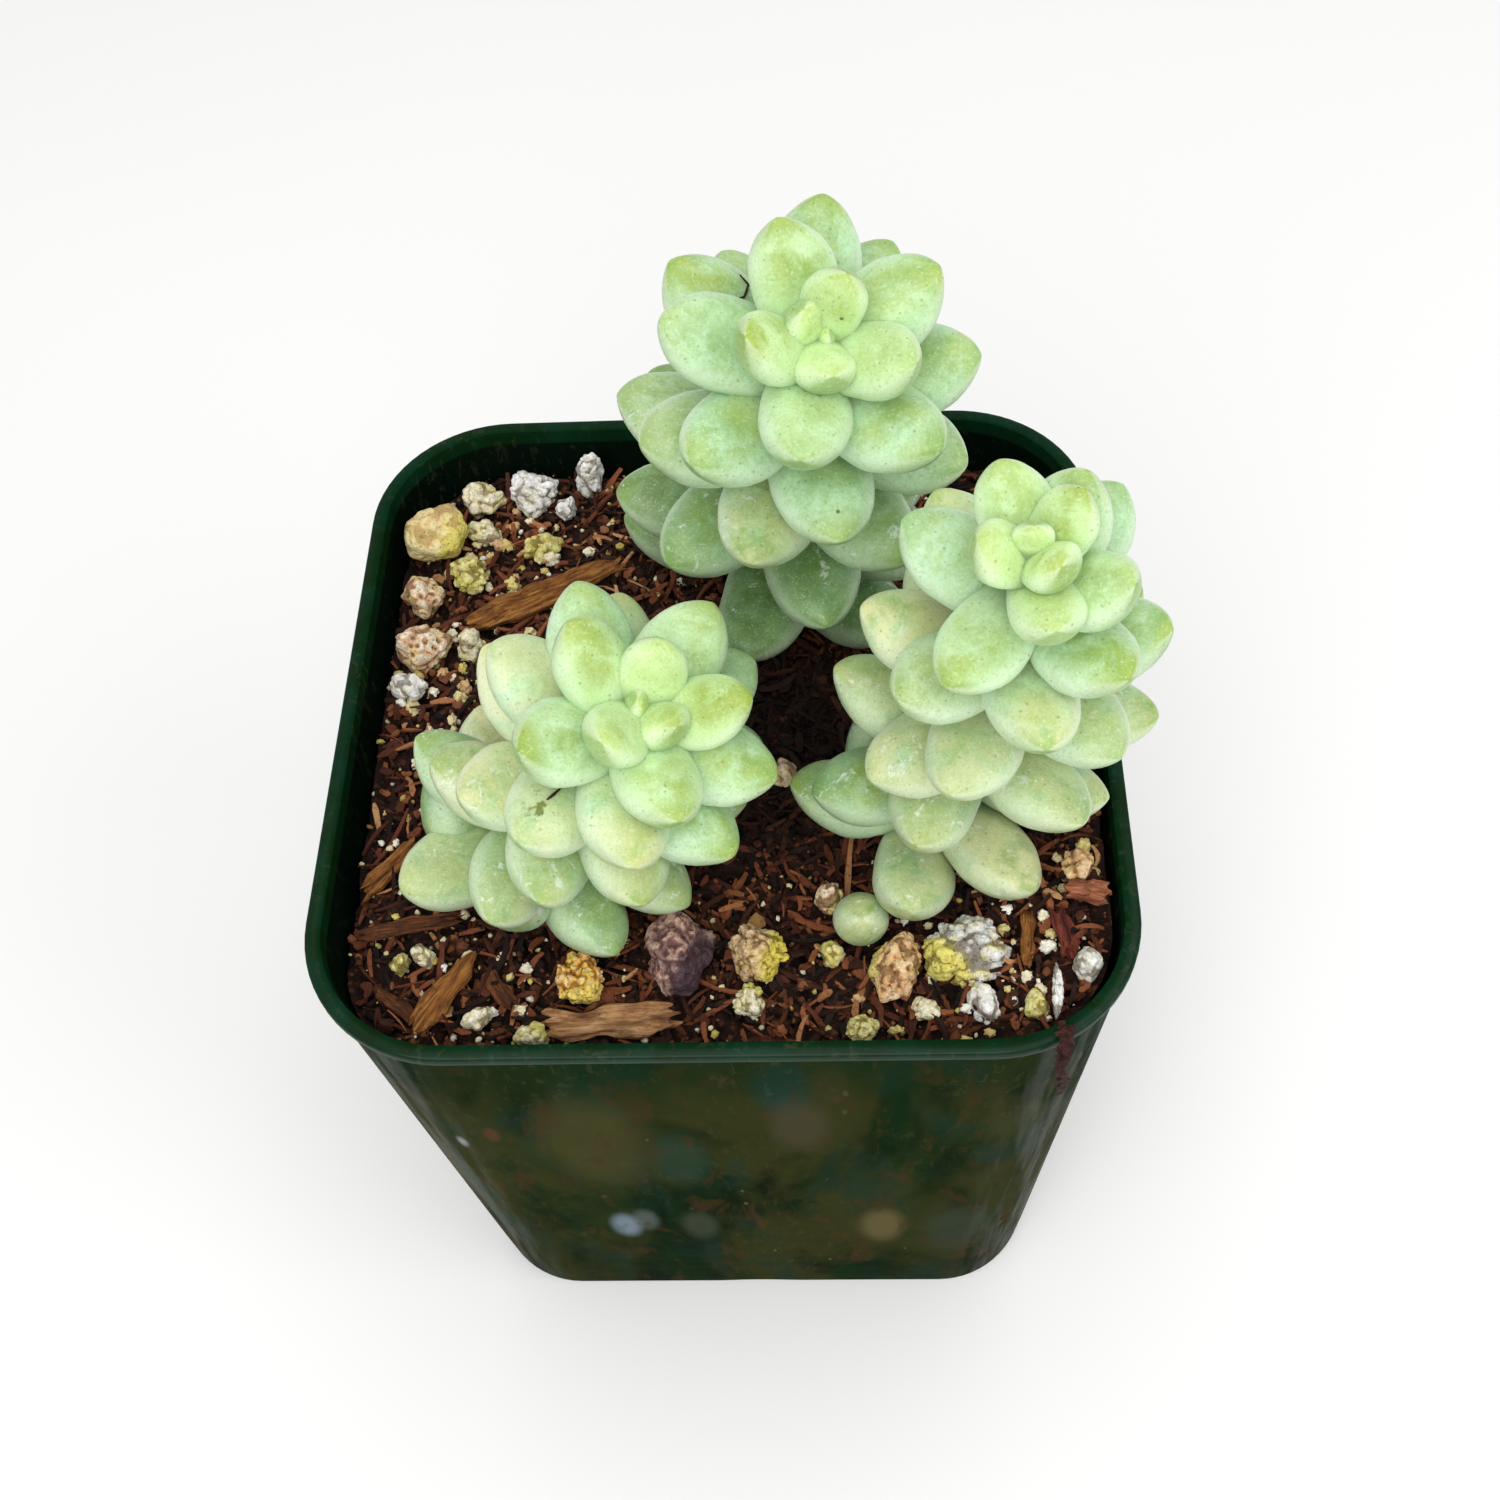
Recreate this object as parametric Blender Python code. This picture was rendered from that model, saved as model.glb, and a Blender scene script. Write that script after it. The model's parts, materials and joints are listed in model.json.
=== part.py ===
"""Potted sedum: three leafy stems in a coarse potting mix, in a small square nursery pot.

Sizes are in millimetres and become metres where a mesh is made. +Z is up, and the origin is the middle of
the pot's underside. Each stem follows one rule of growth: its leaves climb a bent stalk at a fixed
divergence angle, youngest at the tip, and get longer and spread wider as they age. A leaf that would meet
the mix, the pot or another stem is bent clear of it, and one with no room has dropped off.
"""

import math
import random
from dataclasses import dataclass, field

import bmesh
import bpy
import numpy as np
from mathutils import Euler

MM = 0.001
CLEARANCE = 0.3

# Pot: a tapered square box with round corners, measured outside
POT_HEIGHT = 67.0
RIM_HALF = 32.0
RIM_CORNER = 11.7
BASE_HALF = 27.9
BASE_CORNER = 9.2
WALL = 0.9
BEAD_OUT = 0.4
BEAD_HEIGHT = 1.15
EDGE_ROUND = 0.3
BASE_ROUND = 0.7
BASE_PLATE = 2.0
CORNER_STEPS = 7

# Shallow arches at the foot of each side, with a drainage hole through the plate behind each
ARCH_WIDTH = 12.0
ARCH_RISE = 0.9
ARCH_DEPTH = 6.0
DRAIN_RADIUS = 1.9
DRAIN_INSET = 3.4
ARCH_SIDES = 72
DRAIN_SIDES = 14

# Potting mix
SOIL_LEVEL = 61.7
SOIL_MOUND = 0.35
SOIL_CRUMB = 0.3
BANK_RISE = 3.3
BANK_FROM = (14.0, 14.0)
BANK_WIDTH = (15.0, 24.0)
SOIL_RINGS = 8
SOIL_SIDE_STEPS = 5
SOIL_CORNER_STEPS = 4

# Leaf form, as shares of its length unless stated. A bud leaf is plumper, by its youth from 1 down to 0
LEAF_WIDTH = 0.68
BUD_WIDTH = 0.20
LEAF_THICKNESS = 0.52
BUD_THICKNESS = 0.08
PLUMP_AGE = 8.0
UPPER_SHARE = 0.42
NECK = 0.60
BUD_NECK = 0.28
WIDEST_AT = 0.50
TIP_FULLNESS = 2.1
TIP_POWER = 0.66
LEAF_BOW = 0.06
ROOT_SHARE = 0.45
LEAF_SIDES = 6
LEAF_RINGS = 5

# Stalk
STALK_FOOT = 62.0
STALK_SHARE = 0.80
STALK_TIP = 0.25
STALK_SIDES = 9
STALK_STEPS = 12
ROOT_RADIUS = 1.9
ROOT_DEPTH = 11.0
HOLE_RISE = 3.0

# Pieces bedded in the mix: a lump's size with fewer faces, its waves, and a chip's unevenness
SLACK = 1.25
SMALL_LUMP = 2.9
LUMP_WAVES = 6
WAVE_HEIGHT = (0.04, 0.09)
WAVE_COUNT = (1.5, 4)
CHIP_CUTS = 4
CHIP_FULLNESS = (0.72, 1.0)
CHIP_SWAY = 0.11
CHIP_RAGGED = 0.11
CHIP_END = 0.75

# The thin shred over the rim: points of its underside as (outward from the rim, up from the rim)
SHRED_OVER = ((-2.2, 0.3), (-1.0, 0.4), (0.5, 0.2), (0.75, -1.2), (0.65, -3.2), (0.6, -5.6))
SHRED_END = 0.55
SHRED_SWAY = 0.25
SHRED_BEND = 1.9

# How a crowded leaf is moved: upwards towards its stalk, and a little round it, in degrees
BEND_STEP = 4
BEND_LIMIT = 56
TURNS = (0, 6, -6, 12, -12)
LEAF_GAP = 0.34


@dataclass(frozen=True)
class Stem:
    """A leafy stem. Leaf ages count from 0 at the tip."""

    name: str
    root: tuple
    tip: tuple
    bow: tuple
    leaves: int
    hand: int
    first_turn: float
    divergence: float
    leafy_share: float
    crowding: float
    full_length: float
    bud_length: float
    growing_age: float
    bud_spread: float
    full_spread: float
    opening_age: float
    seat: float
    nudges: dict = field(default_factory=dict)


STEMS = (
    Stem("stem_back", root=(4.9, 16.9), tip=(8.6, 4.8, 101.9), bow=(-1.6, 3.5), leaves=38, hand=1,
         first_turn=185.7, divergence=138.5, leafy_share=0.95, crowding=1.61, full_length=11.1,
         bud_length=1.3, growing_age=5.3, bud_spread=8.4, full_spread=85.0, opening_age=9.2, seat=3.0,
         nudges={2: (0, 12), 3: (6, -12), 7: (9, 6), 9: (6, 6), 10: (12, 6), 17: (6, -6), 20: (0, -6),
                 30: (-18, 0), 34: (-6, 6)}),
    Stem("stem_front_left", root=(-17.6, -12.8), tip=(-4.1, -13.2, 84.4), bow=(2.4, 2.9), leaves=40, hand=1,
         first_turn=-5.0, divergence=138.8, leafy_share=1.02, crowding=1.32, full_length=10.1,
         bud_length=1.8, growing_age=4.1, bud_spread=18.0, full_spread=84.3, opening_age=6.3, seat=2.4,
         nudges={8: (6, 0), 11: (12, 0), 13: (-18, 0), 19: (-6, 0), 22: (12, -6), 24: (-12, 0), 26: (6, 0),
                 29: (6, 12), 31: (6, 6), 32: (12, 0), 34: (0, 24), 36: (-12, -12), 37: (-6, -6),
                 39: (-30, 0)}),
    Stem("stem_right", root=(15.0, -10.6), tip=(21.7, -14.3, 101.9), bow=(5.8, 5.6), leaves=38, hand=-1,
         first_turn=-95.6, divergence=135.3, leafy_share=0.99, crowding=1.18, full_length=9.7,
         bud_length=2.0, growing_age=5.4, bud_spread=20.6, full_spread=79.1, opening_age=7.5, seat=2.2,
         nudges={3: (6, 0), 4: (15, 0), 5: (-21, 0), 6: (-18, -12), 7: (12, 24), 8: (-24, -24),
                 10: (-21, 0), 11: (12, -12), 12: (12, 6), 14: (-6, -18), 20: (-12, 6), 23: (6, 18),
                 26: (0, 6), 28: (-12, 6), 31: (-12, 18), 34: (18, 18)}),
)


@dataclass(frozen=True)
class Leaf:
    """A leaf's frame: its root, three unit directions, its sizes and its youth."""

    root: np.ndarray
    along: np.ndarray
    across: np.ndarray
    upper: np.ndarray
    length: float
    width: float
    thickness: float
    youth: float


@dataclass(frozen=True)
class Piece:
    """A lump or chip bedded in the mix: its place, whole sizes, and turns about X, Y and Z in degrees."""

    name: str
    place: tuple
    size: tuple
    turns: tuple = (0, 0, 0)


PUMICE = (
    Piece("pumice_round", (-26.9, 21.2, 63.4), (5.4, 5.6, 4.8), (10, 0, 20)),
    Piece("pumice_beige", (-27.4, 14.6, 62.9), (4.0, 3.6, 3.4), (0, 15, 40)),
    Piece("pumice_left", (-26.9, 9.1, 62.9), (5.0, 4.2, 3.6), (0, -10, 10)),
    Piece("pumice_orange", (-10.9, -23.6, 62.8), (4.2, 3.4, 3.4), (0, 0, 15)),
    Piece("pumice_ball", (2.7, -21.1, 62.9), (4.3, 4.3, 4.0), (0, 0, 30)),
    Piece("pumice_tall", (13.3, -22.9, 63.0), (3.6, 5.0, 4.4), (0, -12, -22)),
    Piece("pumice_big", (18.7, -21.8, 63.6), (6.0, 4.9, 4.4), (0, 8, 12)),
)
PERLITE = (
    Piece("perlite_01", (-23.2, 26.0, 63.0), (4.0, 3.8, 3.6)),
    Piece("perlite_02", (-18.7, 26.6, 63.0), (3.8, 3.8, 3.6), (0, 0, 50)),
    Piece("perlite_03", (-22.6, 22.3, 62.5), (2.9, 2.2, 2.2), (0, 0, -20)),
    Piece("perlite_04", (-23.6, 17.3, 62.6), (3.2, 4.2, 2.6), (0, 0, 30)),
    Piece("perlite_05", (-17.3, 20.5, 62.5), (3.6, 2.6, 2.4), (0, 0, 20)),
    Piece("perlite_06", (-27.7, 4.8, 62.7), (3.8, 2.4, 2.4), (0, 0, -20)),
    Piece("perlite_07", (-22.8, 9.8, 62.5), (2.8, 2.8, 2.2)),
    Piece("perlite_08", (-13.3, 28.2, 63.8), (3.0, 2.8, 4.2), (8, 0, 0)),
    Piece("perlite_09", (-15.4, 24.6, 62.9), (1.7, 1.7, 2.8), (0, 12, 0)),
    Piece("perlite_10", (2.0, -25.5, 62.6), (2.2, 2.8, 2.2), (0, 0, 15)),
    Piece("perlite_11", (20.0, -26.2, 63.6), (2.4, 3.6, 2.4), (0, 0, 20)),
    Piece("perlite_12", (27.8, -24.2, 65.6), (2.4, 2.4, 2.8)),
    Piece("perlite_13", (-14.5, -28.2, 62.7), (2.3, 2.2, 2.4)),
    Piece("perlite_14", (-18.7, -26.8, 62.5), (2.2, 1.7, 1.7), (0, 0, 30)),
    Piece("perlite_15", (-25.4, -22.0, 62.7), (1.6, 1.6, 3.0), (20, 10, 0)),
    Piece("perlite_16", (-23.3, -21.5, 62.9), (1.6, 1.6, 3.4), (20, -8, 0)),
    Piece("perlite_17", (10.9, -27.7, 62.4), (3.2, 2.2, 1.8), (0, 0, 15)),
    Piece("perlite_18", (15.6, -26.4, 62.5), (2.4, 1.7, 1.7), (0, 0, -20)),
    Piece("perlite_19", (8.3, -16.6, 62.5), (2.3, 2.5, 2.2)),
    Piece("perlite_20", (28.0, -15.4, 65.0), (3.0, 3.2, 2.6)),
    Piece("perlite_21", (4.9, -4.5, 62.4), (2.2, 2.6, 2.0), (0, 0, 25)),
    Piece("perlite_22", (8.6, -21.3, 62.4), (1.6, 2.4, 1.8), (0, 0, 15)),
    Piece("perlite_23", (23.8, -26.8, 64.5), (2.0, 2.2, 2.0), (0, 0, 15)),
)
LEAF_LOW = Piece("leaf_low", (10.9, -19.3, 63.7), (4.0, 4.0, 5.2), (30, 0, 0))
LAVA = Piece("lava_rock", (-3.2, -21.4, 63.2), (4.8, 6.4, 4.8), (14, -24, -18))
BARK = (
    Piece("bark_long", (-16.6, 14.9, 62.8), (14.4, 2.8, 1.4), (20, -4, 24)),
    Piece("bark_front", (-8.5, -27.0, 62.6), (9.8, 2.9, 1.2), (22, 0, 4)),
    Piece("bark_slant", (-21.6, -24.4, 62.8), (7.4, 2.4, 1.0), (12, 6, 62)),
    Piece("bark_left", (-27.2, -13.0, 62.6), (5.8, 2.1, 1.0), (14, 0, 50)),
    Piece("bark_flat", (-25.0, -18.4, 62.4), (8.0, 1.9, 0.9), (-10, 0, 10)),
    Piece("bark_corner", (-25.3, -25.2, 62.2), (3.6, 1.5, 0.8), (0, 0, -38)),
    Piece("bark_stub", (-17.2, -24.1, 62.4), (3.6, 1.8, 1.0), (10, 0, -52)),
    Piece("bark_red", (26.3, -21.2, 65.2), (4.2, 1.9, 1.0), (0, 8, 98)),
    Piece("bark_pink", (28.3, -18.1, 65.8), (3.3, 2.2, 1.2), (0, -10, -14)),
    Piece("bark_tan", (23.6, -21.2, 64.6), (4.8, 1.6, 0.9), (0, 10, 84)),
)
SHRED = Piece("bark_shred", (25.2, -32.0, 66.0), (0.9, 0.6, 5.6))

LEAF_COLOURS = ((0.46, 0.68, 0.44), (0.50, 0.70, 0.42), (0.48, 0.69, 0.48))
FINISHES = {
    "pot": ((0.012, 0.060, 0.036), 0.30),
    "soil": ((0.060, 0.022, 0.012), 0.95),
    "pumice": ((0.62, 0.46, 0.22), 0.90),
    "perlite": ((0.78, 0.74, 0.58), 0.90),
    "lava": ((0.16, 0.09, 0.10), 0.85),
    "bark": ((0.30, 0.13, 0.05), 0.85),
    "low_leaf": ((0.44, 0.64, 0.36), 0.42),
}


def wall_half(height):
    """Return the pot's outer half width at a height, without its bead."""
    top = RIM_HALF - BEAD_OUT
    return BASE_HALF + (top - BASE_HALF) * height / POT_HEIGHT


def wall_corner(height):
    """Return the pot's outer corner radius at a height, without its bead."""
    top = RIM_CORNER - BEAD_OUT
    return BASE_CORNER + (top - BASE_CORNER) * height / POT_HEIGHT


def smooth_step(value):
    """Return a rise from 0 to 1 with level ends."""
    value = np.clip(value, 0, 1)
    return value * value * (3 - 2 * value)


def soil_height(x, y):
    """Return the height of the mix: low mounds, coarse crumb, and a bank at the front right."""
    mound = SOIL_MOUND * np.sin(x / 6.1 + 1.3) * np.cos(y / 7.4 - 0.4)
    crumb = SOIL_CRUMB * np.sin(1.7 * x + 0.9 * y) * np.sin(1.9 * y - 0.6 * x)
    bank = smooth_step((x - BANK_FROM[0]) / BANK_WIDTH[0]) * smooth_step((BANK_FROM[1] - y) / BANK_WIDTH[1])
    return SOIL_LEVEL + mound + crumb + BANK_RISE * bank


def unit(vector):
    """Return a vector at length 1."""
    return vector / np.linalg.norm(vector)


def material(name, colour, roughness):
    """Make a Principled material."""
    finish = bpy.data.materials.new(name)
    finish.use_nodes = True
    shader = finish.node_tree.nodes["Principled BSDF"]
    shader.inputs["Base Color"].default_value = (*colour, 1)
    shader.inputs["Roughness"].default_value = roughness
    finish.diffuse_color = (*colour, 1)
    return finish


def add_object(name, mesh_builder, finish=None, parent=None):
    """Turn a bmesh into an object, smooth but for its sharp edges."""
    mesh = bpy.data.meshes.new(name)
    bmesh.ops.recalc_face_normals(mesh_builder, faces=mesh_builder.faces)
    mesh_builder.to_mesh(mesh)
    mesh_builder.free()
    if finish:
        mesh.materials.append(finish)
    thing = bpy.data.objects.new(name, mesh)
    bpy.context.scene.collection.objects.link(thing)
    thing.parent = parent
    return thing


def rounded_square(half, corner, height, corner_steps=CORNER_STEPS, side_steps=1):
    """Return the points of a square with round corners, anticlockwise from above."""
    centre = half - corner
    arcs = []
    for quarter in range(4):
        middle = (centre * (1, -1, -1, 1)[quarter], centre * (1, 1, -1, -1)[quarter])
        for step in range(corner_steps + 1):
            angle = math.pi / 2 * (quarter + step / corner_steps)
            arcs.append((middle[0] + corner * math.cos(angle), middle[1] + corner * math.sin(angle)))
    points = []
    for index, here in enumerate(arcs):
        points.append((*here, height))
        if index % (corner_steps + 1) == corner_steps:
            ahead = arcs[(index + 1) % len(arcs)]
            for step in range(1, side_steps):
                share = step / side_steps
                points.append((here[0] + (ahead[0] - here[0]) * share, here[1] + (ahead[1] - here[1]) * share,
                               height))
    return points


def loft(loops):
    """Join loops of points into one closed body, flat at its first loop and its last."""
    builder = bmesh.new()
    rings = [[builder.verts.new(np.array(point) * MM) for point in loop] for loop in loops]
    for low, high in zip(rings, rings[1:]):
        for index, corner in enumerate(low):
            after = (index + 1) % len(low)
            builder.faces.new((corner, low[after], high[after], high[index]))
    builder.faces.new(rings[0][::-1])
    builder.faces.new(rings[-1])
    return builder


def keep_largest_shell(builder):
    """Remove sealed hollows and loose scraps, which leaves the one outer shell."""
    waiting = set(builder.faces)
    shells = []
    while waiting:
        shell = {waiting.pop()}
        edge_of_search = list(shell)
        while edge_of_search:
            face = edge_of_search.pop()
            for edge in face.edges:
                for neighbour in edge.link_faces:
                    if neighbour in waiting:
                        waiting.discard(neighbour)
                        shell.add(neighbour)
                        edge_of_search.append(neighbour)
        shells.append(shell)
    if len(shells) > 1:
        largest = max(shells, key=lambda shell: sum(face.calc_area() for face in shell))
        spare = [face for shell in shells if shell is not largest for face in shell]
        bmesh.ops.delete(builder, geom=spare, context="FACES")
        loose = [vert for vert in builder.verts if not vert.link_faces]
        bmesh.ops.delete(builder, geom=loose, context="VERTS")


def combine(base, others, operation):
    """Join objects to a base, or cut them from it, with one Boolean on their collection."""
    group = bpy.data.collections.new(base.name + "_tools")
    bpy.context.scene.collection.children.link(group)
    for thing in others:
        bpy.context.scene.collection.objects.unlink(thing)
        group.objects.link(thing)
        thing.hide_render = True
        thing.display_type = "WIRE"
    boolean = base.modifiers.new(operation.lower(), "BOOLEAN")
    boolean.operation = operation
    boolean.operand_type = "COLLECTION"
    boolean.collection = group
    boolean.solver = "EXACT"
    bpy.context.view_layer.update()
    evaluated = base.evaluated_get(bpy.context.evaluated_depsgraph_get())
    builder = bmesh.new()
    builder.from_mesh(evaluated.to_mesh())
    evaluated.to_mesh_clear()
    base.modifiers.clear()
    keep_largest_shell(builder)
    bmesh.ops.triangulate(builder, faces=builder.faces)
    builder.to_mesh(base.data)
    builder.free()
    for thing in list(group.objects):
        bpy.data.objects.remove(thing, do_unlink=True)
    bpy.data.collections.remove(group)


def make_pot(finish, parent):
    """Build the tapered pot with its bead, base plate, arches and drainage holes."""
    bead_low = POT_HEIGHT - BEAD_HEIGHT
    profile = (
        (BASE_HALF - BASE_ROUND, BASE_CORNER - BASE_ROUND, 0),
        (BASE_HALF, BASE_CORNER, BASE_ROUND),
        (wall_half(bead_low), wall_corner(bead_low), bead_low),
        (RIM_HALF, RIM_CORNER, bead_low + EDGE_ROUND),
        (RIM_HALF, RIM_CORNER, POT_HEIGHT - EDGE_ROUND),
        (RIM_HALF - EDGE_ROUND, RIM_CORNER - EDGE_ROUND, POT_HEIGHT),
        (wall_half(POT_HEIGHT) - WALL, wall_corner(POT_HEIGHT) - WALL, POT_HEIGHT),
        (wall_half(BASE_PLATE) - WALL, wall_corner(BASE_PLATE) - WALL, BASE_PLATE),
    )
    pot = add_object("pot", loft([rounded_square(*level) for level in profile]), finish, parent)
    arch_radius = (ARCH_WIDTH ** 2 / 4 + ARCH_RISE ** 2) / (2 * ARCH_RISE)
    cutters = []
    for side in range(4):
        turn = side * math.pi / 2
        outward = np.array((math.cos(turn), math.sin(turn)))
        arch = bmesh.new()
        bmesh.ops.create_cone(arch, segments=ARCH_SIDES, radius1=arch_radius * MM, radius2=arch_radius * MM,
                              depth=2 * ARCH_DEPTH * MM, cap_ends=True)
        tool = add_object("arch", arch)
        tool.location = (*(outward * BASE_HALF * MM), (ARCH_RISE - arch_radius) * MM)
        tool.rotation_euler = (0, math.pi / 2, turn)
        drain = bmesh.new()
        bmesh.ops.create_cone(drain, segments=DRAIN_SIDES, radius1=DRAIN_RADIUS * MM,
                              radius2=DRAIN_RADIUS * MM, depth=2 * BASE_PLATE * MM, cap_ends=True)
        hole = add_object("drain", drain)
        hole.location = (*(outward * (BASE_HALF - DRAIN_INSET) * MM), BASE_PLATE * MM)
        cutters += [tool, hole]
    combine(pot, cutters, "DIFFERENCE")
    return pot


def stalk_point(stem, share):
    """Return the point and the upward direction at a share of the way from tip (0) to root (1)."""
    low = np.array((*stem.root, STALK_FOOT))
    high = np.array(stem.tip)
    middle = (low + high) / 2 + np.array((*stem.bow, 0))
    rise = 1 - share
    point = share ** 2 * low + 2 * share * rise * middle + rise ** 2 * high
    return point, unit(share * (middle - low) + rise * (high - middle))


def leaf_scale(stem, age):
    """Return a leaf's length for its age."""
    return stem.bud_length + (stem.full_length - stem.bud_length) * (1 - math.exp(-age / stem.growing_age))


def leaf_share(stem, age):
    """Return where on the stalk a leaf of an age sits, from tip (0) to root (1)."""
    return stem.leafy_share * ((age + 0.5) / stem.leaves) ** stem.crowding


def grow_leaf(stem, age, bend=0.0, turn=0.0):
    """Return one leaf by the stem's rule, bent and turned by the given degrees."""
    point, up = stalk_point(stem, leaf_share(stem, age))
    length = leaf_scale(stem, age)
    opening = 1 - math.exp(-age / stem.opening_age)
    nudge = stem.nudges.get(age, (0, 0))
    spread = math.radians(stem.bud_spread + (stem.full_spread - stem.bud_spread) * opening - bend + nudge[1])
    angle = math.radians(stem.first_turn + stem.hand * stem.divergence * age + turn + nudge[0])
    east = unit(np.cross(up, (0, 1, 0)))
    north = np.cross(up, east)
    outward = math.cos(angle) * east + math.sin(angle) * north
    seat = outward * stem.seat * length / stem.full_length
    root = point + seat * ROOT_SHARE
    tip = point + seat + (math.cos(spread) * up + math.sin(spread) * outward) * length
    along = unit(tip - root)
    across = unit(np.cross(up, along))
    youth = math.exp(-age / PLUMP_AGE)
    return Leaf(root, along, across, np.cross(along, across), float(np.linalg.norm(tip - root)),
                length * (LEAF_WIDTH + BUD_WIDTH * youth),
                length * (LEAF_THICKNESS + BUD_THICKNESS * youth), youth)


def leaf_swell(share, youth):
    """Return a leaf's girth from root (0) to tip (1), where 1 is its widest."""
    neck = NECK + BUD_NECK * youth
    lower = neck + (1 - neck) * np.sin(np.clip(share / WIDEST_AT, 0, 1) * math.pi / 2)
    ahead = np.clip((share - WIDEST_AT) / (1 - WIDEST_AT), 0, 1)
    return np.where(share < WIDEST_AT, lower, (1 - ahead ** TIP_FULLNESS) ** TIP_POWER)


def leaf_points(leaf, ball):
    """Carry the points of a unit ball, root at -Z and tip at +Z, to the leaf's surface."""
    share = (ball[:, 2] + 1) / 2
    ring = np.hypot(ball[:, 0], ball[:, 1])
    spoke = np.where(ring > 1e-6, ring, 1)
    swell = np.where(ring > 1e-6, leaf_swell(share, leaf.youth), 0)
    sideways = ball[:, 1] / spoke * swell * leaf.width / 2
    height = -ball[:, 0] / spoke * swell * leaf.thickness
    height = height * np.where(height > 0, UPPER_SHARE, 1 - UPPER_SHARE)
    height = height - 4 * LEAF_BOW * leaf.length * share * (1 - share)
    return (leaf.root + np.outer(share * leaf.length, leaf.along) + np.outer(sideways, leaf.across)
            + np.outer(height, leaf.upper))


def meets_leaf(leaf, points, gap):
    """Tell whether any point lies in a leaf's body grown by a gap."""
    offset = points - leaf.root
    share = offset @ leaf.along / leaf.length
    inner = np.clip(share, 0, 1)
    height = offset @ leaf.upper + 4 * LEAF_BOW * leaf.length * inner * (1 - inner)
    swell = leaf_swell(inner, leaf.youth)
    side_room = swell * leaf.width / 2 + gap
    depth = np.where(height > 0, UPPER_SHARE, 1 - UPPER_SHARE) * leaf.thickness
    high_room = swell * depth + gap
    beside = (offset @ leaf.across / side_room) ** 2 + (height / high_room) ** 2 < 1
    return bool(np.any(beside & (np.abs(share - 0.5) < 0.5 + gap / leaf.length)))


def meets_pot_or_soil(points, gap):
    """Tell whether any point comes too near the mix or, below the rim, the pot's wall."""
    if np.any(points[:, 2] < soil_height(points[:, 0], points[:, 1]) + gap):
        return True
    low = points[points[:, 2] < POT_HEIGHT + gap]
    corner = wall_corner(SOIL_LEVEL) - WALL
    straight = wall_half(SOIL_LEVEL) - WALL - corner
    reach = np.hypot(*np.maximum(np.abs(low[:, :2]) - straight, 0).T)
    return bool(np.any(reach > corner - gap))


def meets_stalk(stem, points, gap):
    """Tell whether any point lies in a stem's stalk grown by a gap."""
    for step in range(STALK_STEPS * 2 + 1):
        centre, _ = stalk_point(stem, step / (STALK_STEPS * 2))
        if np.any(np.linalg.norm(points - centre, axis=1) < stem.seat * STALK_SHARE + gap):
            return True
    return False


def unit_ball(sides, rings):
    """Return a ball of radius 1 with its poles on Z."""
    builder = bmesh.new()
    bmesh.ops.create_uvsphere(builder, u_segments=sides, v_segments=rings, radius=1)
    return builder


def arrange_leaves():
    """Grow all the stems together, youngest leaves first, and keep each leaf clear of the other pieces."""
    ball = unit_ball(12, 10)
    test_points = np.array([vert.co for vert in ball.verts])
    ball.free()
    grown = {stem.name: [] for stem in STEMS}
    for age in range(max(stem.leaves for stem in STEMS)):
        for stem in STEMS:
            if age >= stem.leaves:
                continue
            others = [other for other in STEMS if other is not stem]
            for bend in range(0, BEND_LIMIT, BEND_STEP):
                choices = [grow_leaf(stem, age, bend, turn) for turn in TURNS]
                clear = [leaf for leaf in choices if has_room(leaf, test_points, others, grown)]
                if clear:
                    grown[stem.name].append(clear[0])
                    break
    return grown


def has_room(leaf, test_points, others, grown):
    """Tell whether a leaf is clear of the pot, the mix and the other stems."""
    points = leaf_points(leaf, test_points)
    if meets_pot_or_soil(points, LEAF_GAP):
        return False
    for other in others:
        if meets_stalk(other, points, LEAF_GAP):
            return False
        for neighbour in grown[other.name]:
            if np.linalg.norm(neighbour.root - leaf.root) > neighbour.length + leaf.length + 1:
                continue
            if meets_leaf(neighbour, points, LEAF_GAP):
                return False
            if meets_leaf(leaf, leaf_points(neighbour, test_points), LEAF_GAP):
                return False
    return True


def stalk_radius(stem, share):
    """Return the stalk's radius at a share of the way from tip (0) to root (1)."""
    age = (share / stem.leafy_share) ** (1 / stem.crowding) * stem.leaves
    return max(stem.seat * STALK_SHARE * leaf_scale(stem, age) / stem.full_length, STALK_TIP)


def ring_about(centre, up, radius, sides):
    """Return points on a circle square to a direction."""
    east = unit(np.cross(up, (0, 1, 0)))
    north = np.cross(up, east)
    turns = [2 * math.pi * side / sides for side in range(sides)]
    return [centre + radius * (math.cos(turn) * east - math.sin(turn) * north) for turn in turns]


def root_rings(stem, grow):
    """Return the rings of the straight buried end of a stalk, made larger by grow on every side."""
    foot, up = stalk_point(stem, 1)
    radius = ROOT_RADIUS + grow
    return [ring_about(foot - up * (ROOT_DEPTH + grow), up, radius, STALK_SIDES),
            ring_about(foot - up * 0.6, up, radius, STALK_SIDES)]


def make_stem(stem, leaves, finish, parent):
    """Build a stalk and fuse its leaves to it."""
    rings = root_rings(stem, 0)
    for step in range(STALK_STEPS + 1):
        share = 1 - step / STALK_STEPS
        centre, up = stalk_point(stem, share)
        rings.append(ring_about(centre, up, stalk_radius(stem, share), STALK_SIDES))
    plant = add_object(stem.name, loft(rings), finish, parent)
    parts = []
    for leaf in leaves:
        builder = unit_ball(LEAF_SIDES, LEAF_RINGS)
        ball = np.array([vert.co for vert in builder.verts])
        for vert, point in zip(builder.verts, leaf_points(leaf, ball)):
            vert.co = point * MM
        parts.append(add_object("leaf", builder))
    combine(plant, parts, "UNION")
    return plant


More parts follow.
